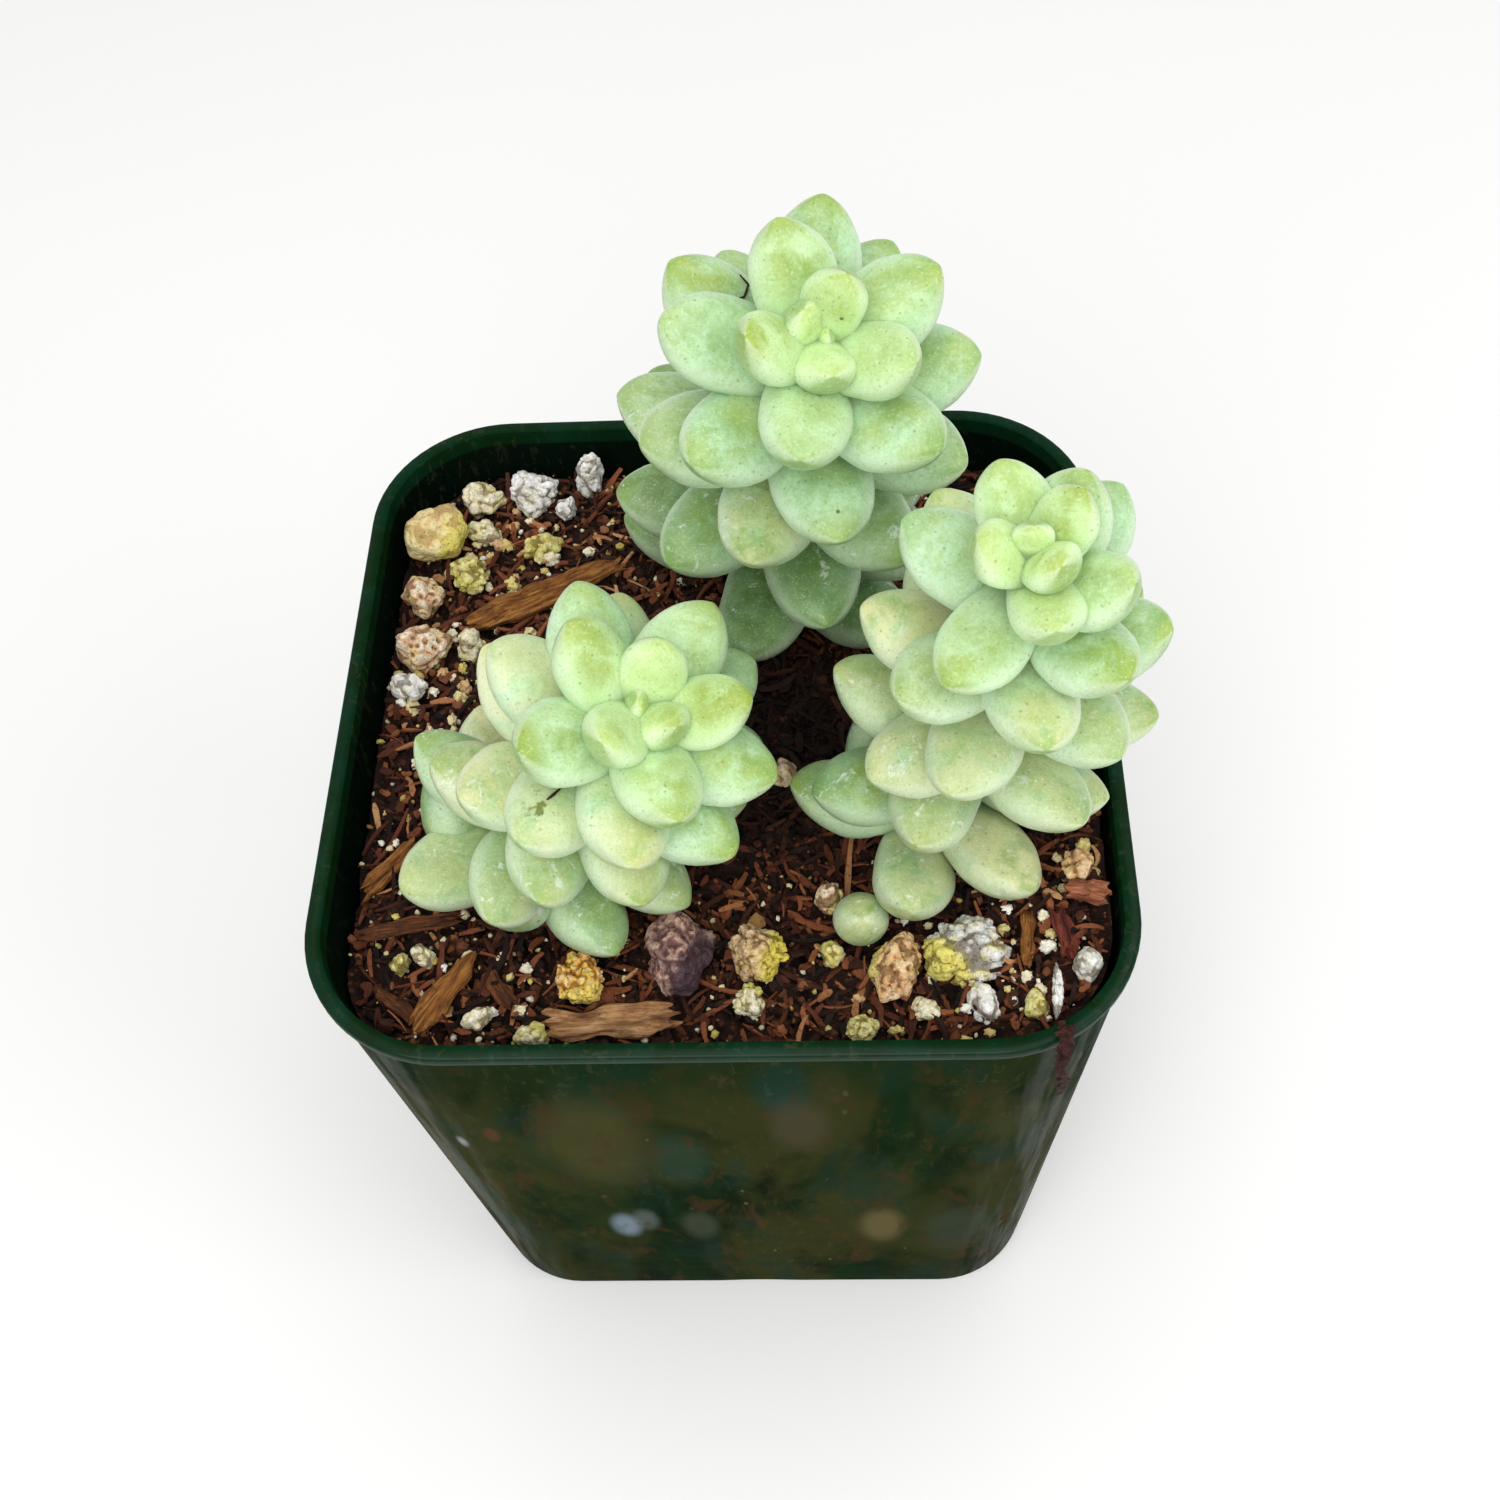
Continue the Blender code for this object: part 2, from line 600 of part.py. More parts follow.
def place(thing, piece):
    """Set an object where a bedded piece lies."""
    thing.location = np.array(piece.place) * MM
    thing.rotation_euler = Euler([math.radians(turn) for turn in piece.turns])


def lump(piece, grow=0.0):
    """Return an uneven pebble, made larger by grow on every side. Its bumps come from its name."""
    draw = random.Random(piece.name)
    waves = [(draw.uniform(*WAVE_HEIGHT), draw.uniform(*WAVE_COUNT), draw.uniform(0, math.tau),
              draw.randrange(3)) for _ in range(LUMP_WAVES)]
    builder = bmesh.new()
    bmesh.ops.create_icosphere(builder, subdivisions=2 if max(piece.size) > SMALL_LUMP else 1, radius=1)
    for vert in builder.verts:
        swell = 1 + sum(size * math.sin(count * vert.co[axis] + shift) for size, count, shift, axis in waves)
        radii = np.array(piece.size) / 2 * swell + grow
        vert.co = np.array(vert.co) * radii * MM
    return builder


def chip(piece, grow=0.0):
    """Return a splintery slab, long in X, made larger by grow on every side."""
    draw = random.Random(piece.name)
    builder = bmesh.new()
    bmesh.ops.create_cube(builder, size=2)
    long_edges = [edge for edge in builder.edges if abs(edge.verts[0].co.x - edge.verts[1].co.x) > 1]
    bmesh.ops.subdivide_edges(builder, edges=long_edges, cuts=CHIP_CUTS, use_grid_fill=True)
    stations = sorted({round(vert.co.x, 4) for vert in builder.verts})
    wobble = {station: (draw.uniform(*CHIP_FULLNESS), draw.uniform(-CHIP_SWAY, CHIP_SWAY),
                        draw.uniform(-CHIP_SWAY, CHIP_SWAY)) for station in stations}
    ragged = {(y, z): draw.uniform(-CHIP_RAGGED, CHIP_RAGGED) for y in (-1, 1) for z in (-1, 1)}
    length, width, thick = np.array(piece.size) / 2
    for vert in builder.verts:
        full, sideways, upward = wobble[round(vert.co.x, 4)]
        y, z = round(vert.co.y), round(vert.co.z)
        at_end = abs(vert.co.x) > 0.999
        x = vert.co.x * (length * (1 + ragged[y, z] * at_end) + grow)
        taper = CHIP_END if at_end else 1.0
        vert.co = np.array((x, y * (width * full * taper + grow) + sideways * width,
                            z * (thick * full + grow) + upward * thick)) * MM
    return builder


def shred_mesh():
    """Return the thin shred that lies over the rim's bead and hangs down outside it."""
    wide, thick, _ = SHRED.size
    under = np.array(SHRED_OVER)
    last = len(under) - 1
    loops = []
    for index, low in enumerate(under):
        run = unit(under[min(index + 1, last)] - under[max(index - 1, 0)])
        high = low + np.array((-run[1], run[0])) * thick
        half = wide / 2 * (SHRED_END if index in (0, last) else 1)
        x = SHRED.place[0] + SHRED_SWAY * math.sin(index * SHRED_BEND)
        corners = ((x - half, low), (x + half, low), (x + half, high), (x - half, high))
        loops.append([(side, -RIM_HALF - out, POT_HEIGHT + up) for side, (out, up) in corners])
    return loft(loops)


def make_bedded(shape, piece, finish, parent):
    """Build one bedded piece, and return it with the tool that cuts its socket in the mix."""
    thing = add_object(piece.name, shape(piece), finish, parent)
    place(thing, piece)
    socket = add_object("socket", shape(piece, CLEARANCE * SLACK))
    place(socket, piece)
    return thing, socket


def stalk_hole(stem):
    """Return the tool that cuts a stalk's plain hole in the mix."""
    foot, up = stalk_point(stem, 1)
    bottom = root_rings(stem, CLEARANCE)[0]
    mouth = ring_about(foot + up * HOLE_RISE, up, stem.seat * STALK_SHARE + CLEARANCE * SLACK, STALK_SIDES)
    return add_object("hole", loft([bottom, mouth]))


def make_soil(finish, parent, sockets):
    """Build the body of mix, with its crumbly top, plain holes for the stalks and sockets for the pieces."""
    floor = BASE_PLATE + CLEARANCE
    inset = WALL + CLEARANCE
    loops = [rounded_square(wall_half(level) - inset, wall_corner(level) - inset, level, SOIL_CORNER_STEPS,
                            SOIL_SIDE_STEPS) for level in (floor, SOIL_LEVEL - 4)]
    edge = rounded_square(wall_half(SOIL_LEVEL) - inset, wall_corner(SOIL_LEVEL) - inset, 0,
                          SOIL_CORNER_STEPS, SOIL_SIDE_STEPS)
    for ring in range(SOIL_RINGS):
        share = 1 - ring / SOIL_RINGS
        loops.append([(x * share, y * share, float(soil_height(x * share, y * share))) for x, y, _ in edge])
    soil = add_object("soil", loft(loops), finish, parent)
    combine(soil, sockets + [stalk_hole(stem) for stem in STEMS], "DIFFERENCE")
    return soil


def main():
    """Build the plant, its pot and its mix."""
    for thing in list(bpy.data.objects):
        bpy.data.objects.remove(thing, do_unlink=True)
    whole = bpy.data.objects.new("potted_sedum", None)
    bpy.context.scene.collection.objects.link(whole)
    finishes = {name: material(name, *values) for name, values in FINISHES.items()}
    make_pot(finishes["pot"], whole)
    sockets = []
    for kind, shape, pieces in (("pumice", lump, PUMICE), ("perlite", lump, PERLITE), ("lava", lump, (LAVA,)),
                                ("low_leaf", lump, (LEAF_LOW,)), ("bark", chip, BARK)):
        for piece in pieces:
            _, socket = make_bedded(shape, piece, finishes[kind], whole)
            sockets.append(socket)
    make_soil(finishes["soil"], whole, sockets)
    add_object(SHRED.name, shred_mesh(), finishes["bark"], whole)
    leaves = arrange_leaves()
    for stem, colour in zip(STEMS, LEAF_COLOURS):
        make_stem(stem, leaves[stem.name], material(stem.name, colour, 0.42), whole)


main()
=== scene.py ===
"""Potted sedum, dressed: plump waxy leaves, a gritty bark mix and a thin moulded nursery pot.

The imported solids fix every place. The leaves follow the same rule of growth as the solids do, with finer
skins; the stones and bark keep the solids' outlines and gain their knobs, pores and fibres.
"""

import json
import logging
import math
import random
from dataclasses import dataclass, field
from enum import Enum
from typing import Any, Iterable

import bmesh
import bpy
import numpy as np
from mathutils import Euler, Matrix, Vector, noise

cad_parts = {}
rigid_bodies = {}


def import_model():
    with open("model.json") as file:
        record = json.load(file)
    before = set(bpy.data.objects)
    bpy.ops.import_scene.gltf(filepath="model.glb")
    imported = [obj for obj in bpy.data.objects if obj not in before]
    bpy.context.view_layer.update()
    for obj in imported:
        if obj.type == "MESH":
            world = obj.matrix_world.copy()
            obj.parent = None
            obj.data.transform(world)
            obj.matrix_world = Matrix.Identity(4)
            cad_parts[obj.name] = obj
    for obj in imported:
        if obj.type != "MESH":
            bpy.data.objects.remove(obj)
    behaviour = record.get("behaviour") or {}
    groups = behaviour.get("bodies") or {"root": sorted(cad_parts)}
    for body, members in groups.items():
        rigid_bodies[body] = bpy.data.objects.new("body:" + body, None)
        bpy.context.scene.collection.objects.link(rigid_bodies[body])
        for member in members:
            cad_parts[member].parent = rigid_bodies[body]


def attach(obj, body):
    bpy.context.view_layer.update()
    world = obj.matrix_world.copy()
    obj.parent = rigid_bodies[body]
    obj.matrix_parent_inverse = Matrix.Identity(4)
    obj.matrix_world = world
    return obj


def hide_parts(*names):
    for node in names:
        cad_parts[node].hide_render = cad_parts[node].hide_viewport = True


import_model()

LOG = logging.getLogger("potted_sedum")
MM = 0.001
BODY = "root"
Colour = tuple[float, float, float, float]
Triple = tuple[float, float, float]
Pair = tuple[float, float]
Socket = bpy.types.NodeSocket
Finish = bpy.types.Material
Piece = bpy.types.Object


def paint(red: int, green: int, blue: int) -> Colour:
    """Turn a colour as seen on a screen, 0 to 255, into a linear one."""
    levels = [value / 255 for value in (red, green, blue)]
    linear = [level / 12.92 if level <= 0.04045 else ((level + 0.055) / 1.055) ** 2.4 for level in levels]
    return (*linear, 1.0)


def unit(vector: np.ndarray) -> np.ndarray:
    """Return a vector at length 1."""
    return vector / np.linalg.norm(vector)


def smooth_step(value: Any) -> Any:
    """Return a rise from 0 to 1 with level ends."""
    value = np.clip(value, 0, 1)
    return value * value * (3 - 2 * value)


def octaves(spot: Vector, *layers: Pair) -> float:
    """Return noise in layers, each with its strength and how fine it is."""
    return sum(strength * noise.noise(spot * fineness) for strength, fineness in layers)


def noise_corner(draw: random.Random, reach: float = 50) -> Vector:
    """Return a random place to read noise from, so that each piece is uneven in its own way."""
    return Vector([draw.uniform(0, reach) for _ in range(3)])


# Forms shared with the solids, in millimetres


@dataclass(frozen=True)
class PotForm:
    """Outer sizes of the tapered square pot, in millimetres."""

    height: float = 67.0
    rim_half: float = 32.0
    rim_corner: float = 11.7
    base_half: float = 27.9
    base_corner: float = 9.2
    wall: float = 0.9
    bead_out: float = 0.4
    bead_height: float = 1.15
    edge_round: float = 0.3
    base_round: float = 0.7
    base_plate: float = 2.0

    def half(self, height: float) -> float:
        """Return the outer half width at a height, without the bead."""
        return self.base_half + (self.rim_half - self.bead_out - self.base_half) * height / self.height

    def corner(self, height: float) -> float:
        """Return the outer corner radius at a height, without the bead."""
        return self.base_corner + (self.rim_corner - self.bead_out - self.base_corner) * height / self.height

    def outline(self, half: float, corner: float, corner_steps: int, side_steps: int) -> np.ndarray:
        """Return the points of a square with round corners, anticlockwise from above.

        Args:
            half: Half the square's width.
            corner: Radius of its corners.
            corner_steps: Steps round each corner.
            side_steps: Steps along each side.

        Returns:
            An array of x and y, one row a point.
        """
        arcs = []
        for quarter in range(4):
            middle = np.array(((1, -1, -1, 1)[quarter], (1, 1, -1, -1)[quarter])) * (half - corner)
            for step in range(corner_steps + 1):
                angle = math.pi / 2 * (quarter + step / corner_steps)
                arcs.append(middle + corner * np.array((math.cos(angle), math.sin(angle))))
        points = []
        for index, here in enumerate(arcs):
            points.append(here)
            if index % (corner_steps + 1) == corner_steps:
                ahead = arcs[(index + 1) % len(arcs)]
                points += [here + (ahead - here) * step / side_steps for step in range(1, side_steps)]
        return np.array(points)


@dataclass(frozen=True)
class MixForm:
    """Surface of the potting mix, in millimetres."""

    level: float = 61.7
    mound: float = 0.35
    crumb: float = 0.3
    bank_rise: float = 3.3
    bank_from: Pair = (14.0, 14.0)
    bank_width: Pair = (15.0, 24.0)

    def height(self, x: Any, y: Any) -> Any:
        """Return the height of the mix: low mounds, coarse crumb, and a bank at the front right."""
        mound = self.mound * np.sin(x / 6.1 + 1.3) * np.cos(y / 7.4 - 0.4)
        crumb = self.crumb * np.sin(1.7 * x + 0.9 * y) * np.sin(1.9 * y - 0.6 * x)
        bank = (smooth_step((x - self.bank_from[0]) / self.bank_width[0])
                * smooth_step((self.bank_from[1] - y) / self.bank_width[1]))
        return self.level + mound + crumb + self.bank_rise * bank


POT = PotForm()
MIX = MixForm()


def within_wall(x: Any, y: Any, margin: float) -> Any:
    """Tell whether places lie inside the pot's inner wall, where it meets the mix.

    Args:
        x: A place's x, or an array of them, in millimetres.
        y: Its y.
        margin: The least distance from the wall.

    Returns:
        True or False for each place.
    """
    corner = POT.corner(MIX.level) - POT.wall
    straight = POT.half(MIX.level) - POT.wall - corner
    reach = np.hypot(np.maximum(np.abs(x) - straight, 0), np.maximum(np.abs(y) - straight, 0))
    return reach < corner - margin


@dataclass(frozen=True)
class StemPlan:
    """Rule of growth of a leafy stem. Leaf ages count from 0 at the tip."""

    name: str
    root: Pair
    tip: Triple
    bow: Pair
    leaves: int
    hand: int
    first_turn: float
    divergence: float
    leafy_share: float
    crowding: float
    full_length: float
    bud_length: float
    growing_age: float
    bud_spread: float
    full_spread: float
    opening_age: float
    seat: float
    nudges: dict[int, tuple[int, int]] = field(default_factory=dict)
    tan: dict[int, float] = field(default_factory=dict)
    # Strength of the painted shade on the lower leaves.
    lower_leaf_shade: float = 0.12


STEMS = (
    StemPlan("stem_back", root=(4.9, 16.9), tip=(8.6, 4.8, 101.9), bow=(-1.6, 3.5), leaves=38, hand=1,
             first_turn=185.7, divergence=138.5, leafy_share=0.95, crowding=1.61, full_length=11.1,
             bud_length=1.3, growing_age=5.3, bud_spread=8.4, full_spread=85.0, opening_age=9.2, seat=3.0,
             nudges={2: (0, 12), 3: (6, -12), 7: (9, 6), 9: (6, 6), 10: (12, 6), 17: (6, -6), 20: (0, -6),
                     30: (-18, 0), 34: (-6, 6)},
             tan={20: 0.6, 22: 0.2, 30: 0.3, 17: 0.25}, lower_leaf_shade=0.85),
    StemPlan("stem_front_left", root=(-17.6, -12.8), tip=(-4.1, -13.2, 84.4), bow=(2.4, 2.9), leaves=40,
             hand=1, first_turn=-5.0, divergence=138.8, leafy_share=1.02, crowding=1.32, full_length=10.1,
             bud_length=1.8, growing_age=4.1, bud_spread=18.0, full_spread=84.3, opening_age=6.3, seat=2.4,
             nudges={8: (6, 0), 11: (12, 0), 13: (-18, 0), 19: (-6, 0), 22: (12, -6), 24: (-12, 0),
                     26: (6, 0), 29: (6, 12), 31: (6, 6), 32: (12, 0), 34: (0, 24), 36: (-12, -12),
                     37: (-6, -6), 39: (-30, 0)},
             tan={11: 0.6, 13: 0.6, 15: 0.4, 16: 0.6, 18: 1.0, 19: 0.5, 21: 0.8, 23: 0.9, 24: 0.35, 25: 0.8,
                  26: 0.65, 27: 0.3, 28: 1.0, 29: 0.4, 34: 0.5, 36: 1.0}),
    StemPlan("stem_right", root=(15.0, -10.6), tip=(21.7, -14.3, 101.9), bow=(5.8, 5.6), leaves=38,
             hand=-1, first_turn=-95.6, divergence=135.3, leafy_share=0.99, crowding=1.18, full_length=9.7,
             bud_length=2.0, growing_age=5.4, bud_spread=20.6, full_spread=79.1, opening_age=7.5, seat=2.2,
             nudges={3: (6, 0), 4: (15, 0), 5: (-21, 0), 6: (-18, -12), 7: (12, 24), 8: (-24, -24),
                     10: (-21, 0), 11: (12, -12), 12: (12, 6), 14: (-6, -18), 20: (-12, 6), 23: (6, 18),
                     26: (0, 6), 28: (-12, 6), 31: (-12, 18), 34: (18, 18)},
             tan={12: 0.5, 13: 0.5, 15: 0.3, 17: 0.3, 18: 0.9, 20: 0.6, 21: 0.8, 22: 0.4, 23: 0.7, 24: 0.4,
                  25: 0.5, 26: 0.5, 28: 0.4, 30: 0.5, 33: 0.9, 35: 0.4, 36: 0.6, 38: 0.6}),
)


@dataclass(frozen=True)
class LeafFrame:
    """A leaf's place: its root, three unit directions, its sizes, and its age and youth."""

    root: np.ndarray
    along: np.ndarray
    across: np.ndarray
    upper: np.ndarray
    length: float
    width: float
    thickness: float
    youth: float
    age: int = 0


@dataclass(frozen=True)
class LeafForm:
    """Form of a plump leaf, as shares of its length unless stated."""

    width: float = 0.68
    bud_width: float = 0.20
    thickness: float = 0.52
    bud_thickness: float = 0.08
    plump_age: float = 8.0
    upper_share: float = 0.42
    neck: float = 0.60
    bud_neck: float = 0.28
    widest_at: float = 0.50
    tip_fullness: float = 2.1
    tip_power: float = 0.66
    bow: float = 0.06

    def swell(self, share: np.ndarray, youth: float) -> np.ndarray:
        """Return the girth from root (0) to tip (1), where 1 is the widest."""
        neck = self.neck + self.bud_neck * youth
        lower = neck + (1 - neck) * np.sin(np.clip(share / self.widest_at, 0, 1) * math.pi / 2)
        ahead = np.clip((share - self.widest_at) / (1 - self.widest_at), 0, 1)
        return np.where(share < self.widest_at, lower, (1 - ahead ** self.tip_fullness) ** self.tip_power)

    def points(self, leaf: LeafFrame, ball: np.ndarray) -> np.ndarray:
        """Carry the points of a unit ball to a leaf's surface.

        Args:
            leaf: The leaf.
            ball: The points, with the leaf's root at -Z and its tip at +Z.

        Returns:
            The points in their places, in millimetres.
        """
        share = (ball[:, 2] + 1) / 2
        ring = np.hypot(ball[:, 0], ball[:, 1])
        spoke = np.where(ring > 1e-6, ring, 1)
        swell = np.where(ring > 1e-6, self.swell(share, leaf.youth), 0)
        sideways = ball[:, 1] / spoke * swell * leaf.width / 2
        height = -ball[:, 0] / spoke * swell * leaf.thickness
        height = height * np.where(height > 0, self.upper_share, 1 - self.upper_share)
        height = height - 4 * self.bow * leaf.length * share * (1 - share)
        return (leaf.root + np.outer(share * leaf.length, leaf.along) + np.outer(sideways, leaf.across)
                + np.outer(height, leaf.upper))

    def holds(self, leaf: LeafFrame, points: np.ndarray, gap: float) -> bool:
        """Tell whether any point lies in a leaf's body.

        Args:
            leaf: The leaf.
            points: The points to test.
            gap: How much larger than the leaf the tested body is.

        Returns:
            True where one lies in it.
        """
        offset = points - leaf.root
        share = offset @ leaf.along / leaf.length
        inner = np.clip(share, 0, 1)
        height = offset @ leaf.upper + 4 * self.bow * leaf.length * inner * (1 - inner)
        swell = self.swell(inner, leaf.youth)
        side_room = swell * leaf.width / 2 + gap
        depth = np.where(height > 0, self.upper_share, 1 - self.upper_share) * leaf.thickness
        high_room = swell * depth + gap
        beside = (offset @ leaf.across / side_room) ** 2 + (height / high_room) ** 2 < 1
        return bool(np.any(beside & (np.abs(share - 0.5) < 0.5 + gap / leaf.length)))


LEAF = LeafForm()


def unit_ball(sides: int, rings: int) -> bmesh.types.BMesh:
    """Return a ball of radius 1 with its poles on Z."""
    builder = bmesh.new()
    bmesh.ops.create_uvsphere(builder, u_segments=sides, v_segments=rings, radius=1)
    return builder


@dataclass
class Growth:
    """Grows all the stems together, and keeps each leaf clear of the pot, the mix and other stems."""

    stems: tuple[StemPlan, ...]
    stalk_foot: float = 62.0
    stalk_share: float = 0.80
    stalk_tip: float = 0.25
    stalk_tests: int = 24
    root_share: float = 0.45
    bends: range = range(0, 56, 4)
    turns: tuple[int, ...] = (0, 6, -6, 12, -12)
    gap: float = 0.34
    test_sides: int = 12
    test_rings: int = 10

    def __post_init__(self) -> None:
        """Arrange the leaves of all the stems."""
        ball = unit_ball(self.test_sides, self.test_rings)
        self.test_points = np.array([vert.co for vert in ball.verts])
        ball.free()
        self.leaves: dict[str, list[LeafFrame]] = {stem.name: [] for stem in self.stems}
        for age in range(max(stem.leaves for stem in self.stems)):
            for stem in self.stems:
                if age < stem.leaves:
                    self._add_leaf(stem, age)

    def _add_leaf(self, stem: StemPlan, age: int) -> None:
        """Add the first leaf of an age that has room, least bent first."""
        for bend in self.bends:
            for leaf in (self.leaf(stem, age, bend, turn) for turn in self.turns):
                if self._has_room(stem, leaf):
                    self.leaves[stem.name].append(leaf)
                    return

    def stalk_point(self, stem: StemPlan, share: float) -> tuple[np.ndarray, np.ndarray]:
        """Find a place on the middle line of a stalk.

        Args:
            stem: The stalk's stem.
            share: How far it is from the tip (0) to the root (1).

        Returns:
            The point, and the direction in which the stalk grows there.
        """
        low = np.array((*stem.root, self.stalk_foot))
        high = np.array(stem.tip)
        middle = (low + high) / 2 + np.array((*stem.bow, 0))
        rise = 1 - share
        point = share ** 2 * low + 2 * share * rise * middle + rise ** 2 * high
        return point, unit(share * (middle - low) + rise * (high - middle))

    def leaf_length(self, stem: StemPlan, age: float) -> float:
        """Return a leaf's length for its age."""
        grown = 1 - math.exp(-age / stem.growing_age)
        return stem.bud_length + (stem.full_length - stem.bud_length) * grown

    def leaf(self, stem: StemPlan, age: int, bend: float, turn: float) -> LeafFrame:
        """Return one leaf by the stem's rule.

        Args:
            stem: The stem that carries it.
            age: Its place in the order from the tip.
            bend: Degrees by which it is bent up towards the stalk.
            turn: Degrees by which it is turned round the stalk.

        Returns:
            The leaf's place.
        """
        place = stem.leafy_share * ((age + 0.5) / stem.leaves) ** stem.crowding
        point, up = self.stalk_point(stem, place)
        length = self.leaf_length(stem, age)
        opening = 1 - math.exp(-age / stem.opening_age)
        nudge = stem.nudges.get(age, (0, 0))
        spread = stem.bud_spread + (stem.full_spread - stem.bud_spread) * opening - bend + nudge[1]
        spread = math.radians(spread)
        angle = math.radians(stem.first_turn + stem.hand * stem.divergence * age + turn + nudge[0])
        east = unit(np.cross(up, (0, 1, 0)))
        north = np.cross(up, east)
        outward = math.cos(angle) * east + math.sin(angle) * north
        seat = outward * stem.seat * length / stem.full_length
        root = point + seat * self.root_share
        tip = point + seat + (math.cos(spread) * up + math.sin(spread) * outward) * length
        along = unit(tip - root)
        across = unit(np.cross(up, along))
        youth = math.exp(-age / LEAF.plump_age)
        return LeafFrame(root, along, across, np.cross(along, across), float(np.linalg.norm(tip - root)),
                         length * (LEAF.width + LEAF.bud_width * youth),
                         length * (LEAF.thickness + LEAF.bud_thickness * youth), youth, age)

    def _meets_pot_or_mix(self, points: np.ndarray) -> bool:
        """Tell whether any point comes too near the mix or, below the rim, the pot's wall."""
        if np.any(points[:, 2] < MIX.height(points[:, 0], points[:, 1]) + self.gap):
            return True
        low = points[points[:, 2] < POT.height + self.gap]
        return not np.all(within_wall(low[:, 0], low[:, 1], self.gap))

    def _meets_stalk(self, stem: StemPlan, points: np.ndarray) -> bool:
        """Tell whether any point comes too near a stem's stalk."""
        for step in range(self.stalk_tests + 1):
            centre, _ = self.stalk_point(stem, step / self.stalk_tests)
            if np.any(np.linalg.norm(points - centre, axis=1) < stem.seat * self.stalk_share + self.gap):
                return True
        return False

    def _has_room(self, stem: StemPlan, leaf: LeafFrame) -> bool:
        """Tell whether a leaf is clear of the pot, the mix and the other stems."""
        points = LEAF.points(leaf, self.test_points)
        if self._meets_pot_or_mix(points):
            return False
        for other in self.stems:
            if other is stem:
                continue
            if self._meets_stalk(other, points):
                return False
            for neighbour in self.leaves[other.name]:
                if np.linalg.norm(neighbour.root - leaf.root) > neighbour.length + leaf.length + 1:
                    continue
                if LEAF.holds(neighbour, points, self.gap):
                    return False
                if LEAF.holds(leaf, LEAF.points(neighbour, self.test_points), self.gap):
                    return False
        return True

    def stalk_radius(self, stem: StemPlan, share: float) -> float:
        """Return the stalk's radius at a share of the way from tip (0) to root (1)."""
        age = (share / stem.leafy_share) ** (1 / stem.crowding) * stem.leaves
        scale = self.leaf_length(stem, age) / stem.full_length
        return max(stem.seat * self.stalk_share * scale, self.stalk_tip)


# Mesh tools


def ring_about(centre: np.ndarray, up: np.ndarray, radius: float, sides: int) -> np.ndarray:
    """Return points on a circle.

    Args:
        centre: Its centre.
        up: The direction that it is square to.
        radius: Its radius.
        sides: How many points it has.

    Returns:
        An array of points, one row each.
    """
    east = unit(np.cross(up, (0.0, 1.0, 0.0)))
    north = np.cross(up, east)
    turns = np.arange(sides) * 2 * math.pi / sides
    return centre + radius * (np.outer(np.cos(turns), east) - np.outer(np.sin(turns), north))


def sweep(builder: bmesh.types.BMesh, rings: list[np.ndarray]) -> None:
    """Extrude a capped ring through a row of rings, and cap the last.

    Args:
        builder: The bmesh that takes the shape.
        rings: Rings with the same number of points, in millimetres.
    """
    current = list(bmesh.ops.create_circle(builder, cap_ends=True, segments=len(rings[0]), radius=1)["verts"])
    for vert, point in zip(current, rings[0]):
        vert.co = Vector(point) * MM
    for ring in rings[1:]:
        edges = [builder.edges.get((here, ahead)) for here, ahead in zip(current, current[1:] + current[:1])]
        grown = bmesh.ops.extrude_edge_only(builder, edges=edges)["geom"]
        fresh = {item for item in grown if isinstance(item, bmesh.types.BMVert)}
        current = [next(edge.other_vert(vert) for edge in vert.link_edges if edge.other_vert(vert) in fresh)
                   for vert in current]
        for vert, point in zip(current, ring):
            vert.co = Vector(point) * MM
    bmesh.ops.contextual_create(builder, geom=current)


def add_object(name: str, data: Any) -> Piece:
    """Add an object that shows a mesh, or is a lamp or a camera."""
    thing = bpy.data.objects.new(name, data)
    bpy.context.scene.collection.objects.link(thing)
    return thing


def finish_mesh(name: str, builder: bmesh.types.BMesh, finish: Finish, sharp: float = 40.0) -> Piece:
    """Turn a bmesh into a smooth-shaded object at the origin.

    Args:
        name: The object's name.
        builder: The bmesh, which is freed.
        finish: Its material.
        sharp: Edges that turn by more than this many degrees stay crisp.

    Returns:
        The new object.
    """
    mesh = bpy.data.meshes.new(name)
    bmesh.ops.recalc_face_normals(builder, faces=builder.faces)
    builder.to_mesh(mesh)
    builder.free()
    mesh.shade_smooth()
    mesh.set_sharp_from_angle(angle=math.radians(sharp))
    mesh.materials.append(finish)
    return add_object(name, mesh)


def seat_piece(piece: Piece, slot: str, *nodes: str) -> None:
    """Let a piece ride on the part.

    Args:
        piece: The piece.
        slot: Not used.
        nodes: The solids that it stands for.
    """
    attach(piece, BODY)
    if nodes:
        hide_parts(*nodes)
    LOG.info("%s: %d faces", piece.name, len(piece.data.polygons))


def cut(base: Piece, cutters: list[Piece]) -> None:
    """Cut objects from a base, and apply the cut.

    Args:
        base: The object that is cut.
        cutters: The objects to cut from it, which are removed.
    """
    group = bpy.data.collections.new(base.name + "_cutters")
    bpy.context.scene.collection.children.link(group)
    for thing in cutters:
        bpy.context.scene.collection.objects.unlink(thing)
        group.objects.link(thing)
    boolean = base.modifiers.new("cut", "BOOLEAN")
    boolean.operation = "DIFFERENCE"
    boolean.operand_type = "COLLECTION"
    boolean.collection = group
    boolean.solver = "EXACT"
    bpy.context.view_layer.update()
    shaped = bpy.data.meshes.new_from_object(base.evaluated_get(bpy.context.evaluated_depsgraph_get()))
    base.modifiers.clear()
    base.data = shaped
    for thing in list(group.objects):
        bpy.data.objects.remove(thing, do_unlink=True)
    bpy.data.collections.remove(group)


# Shader wiring


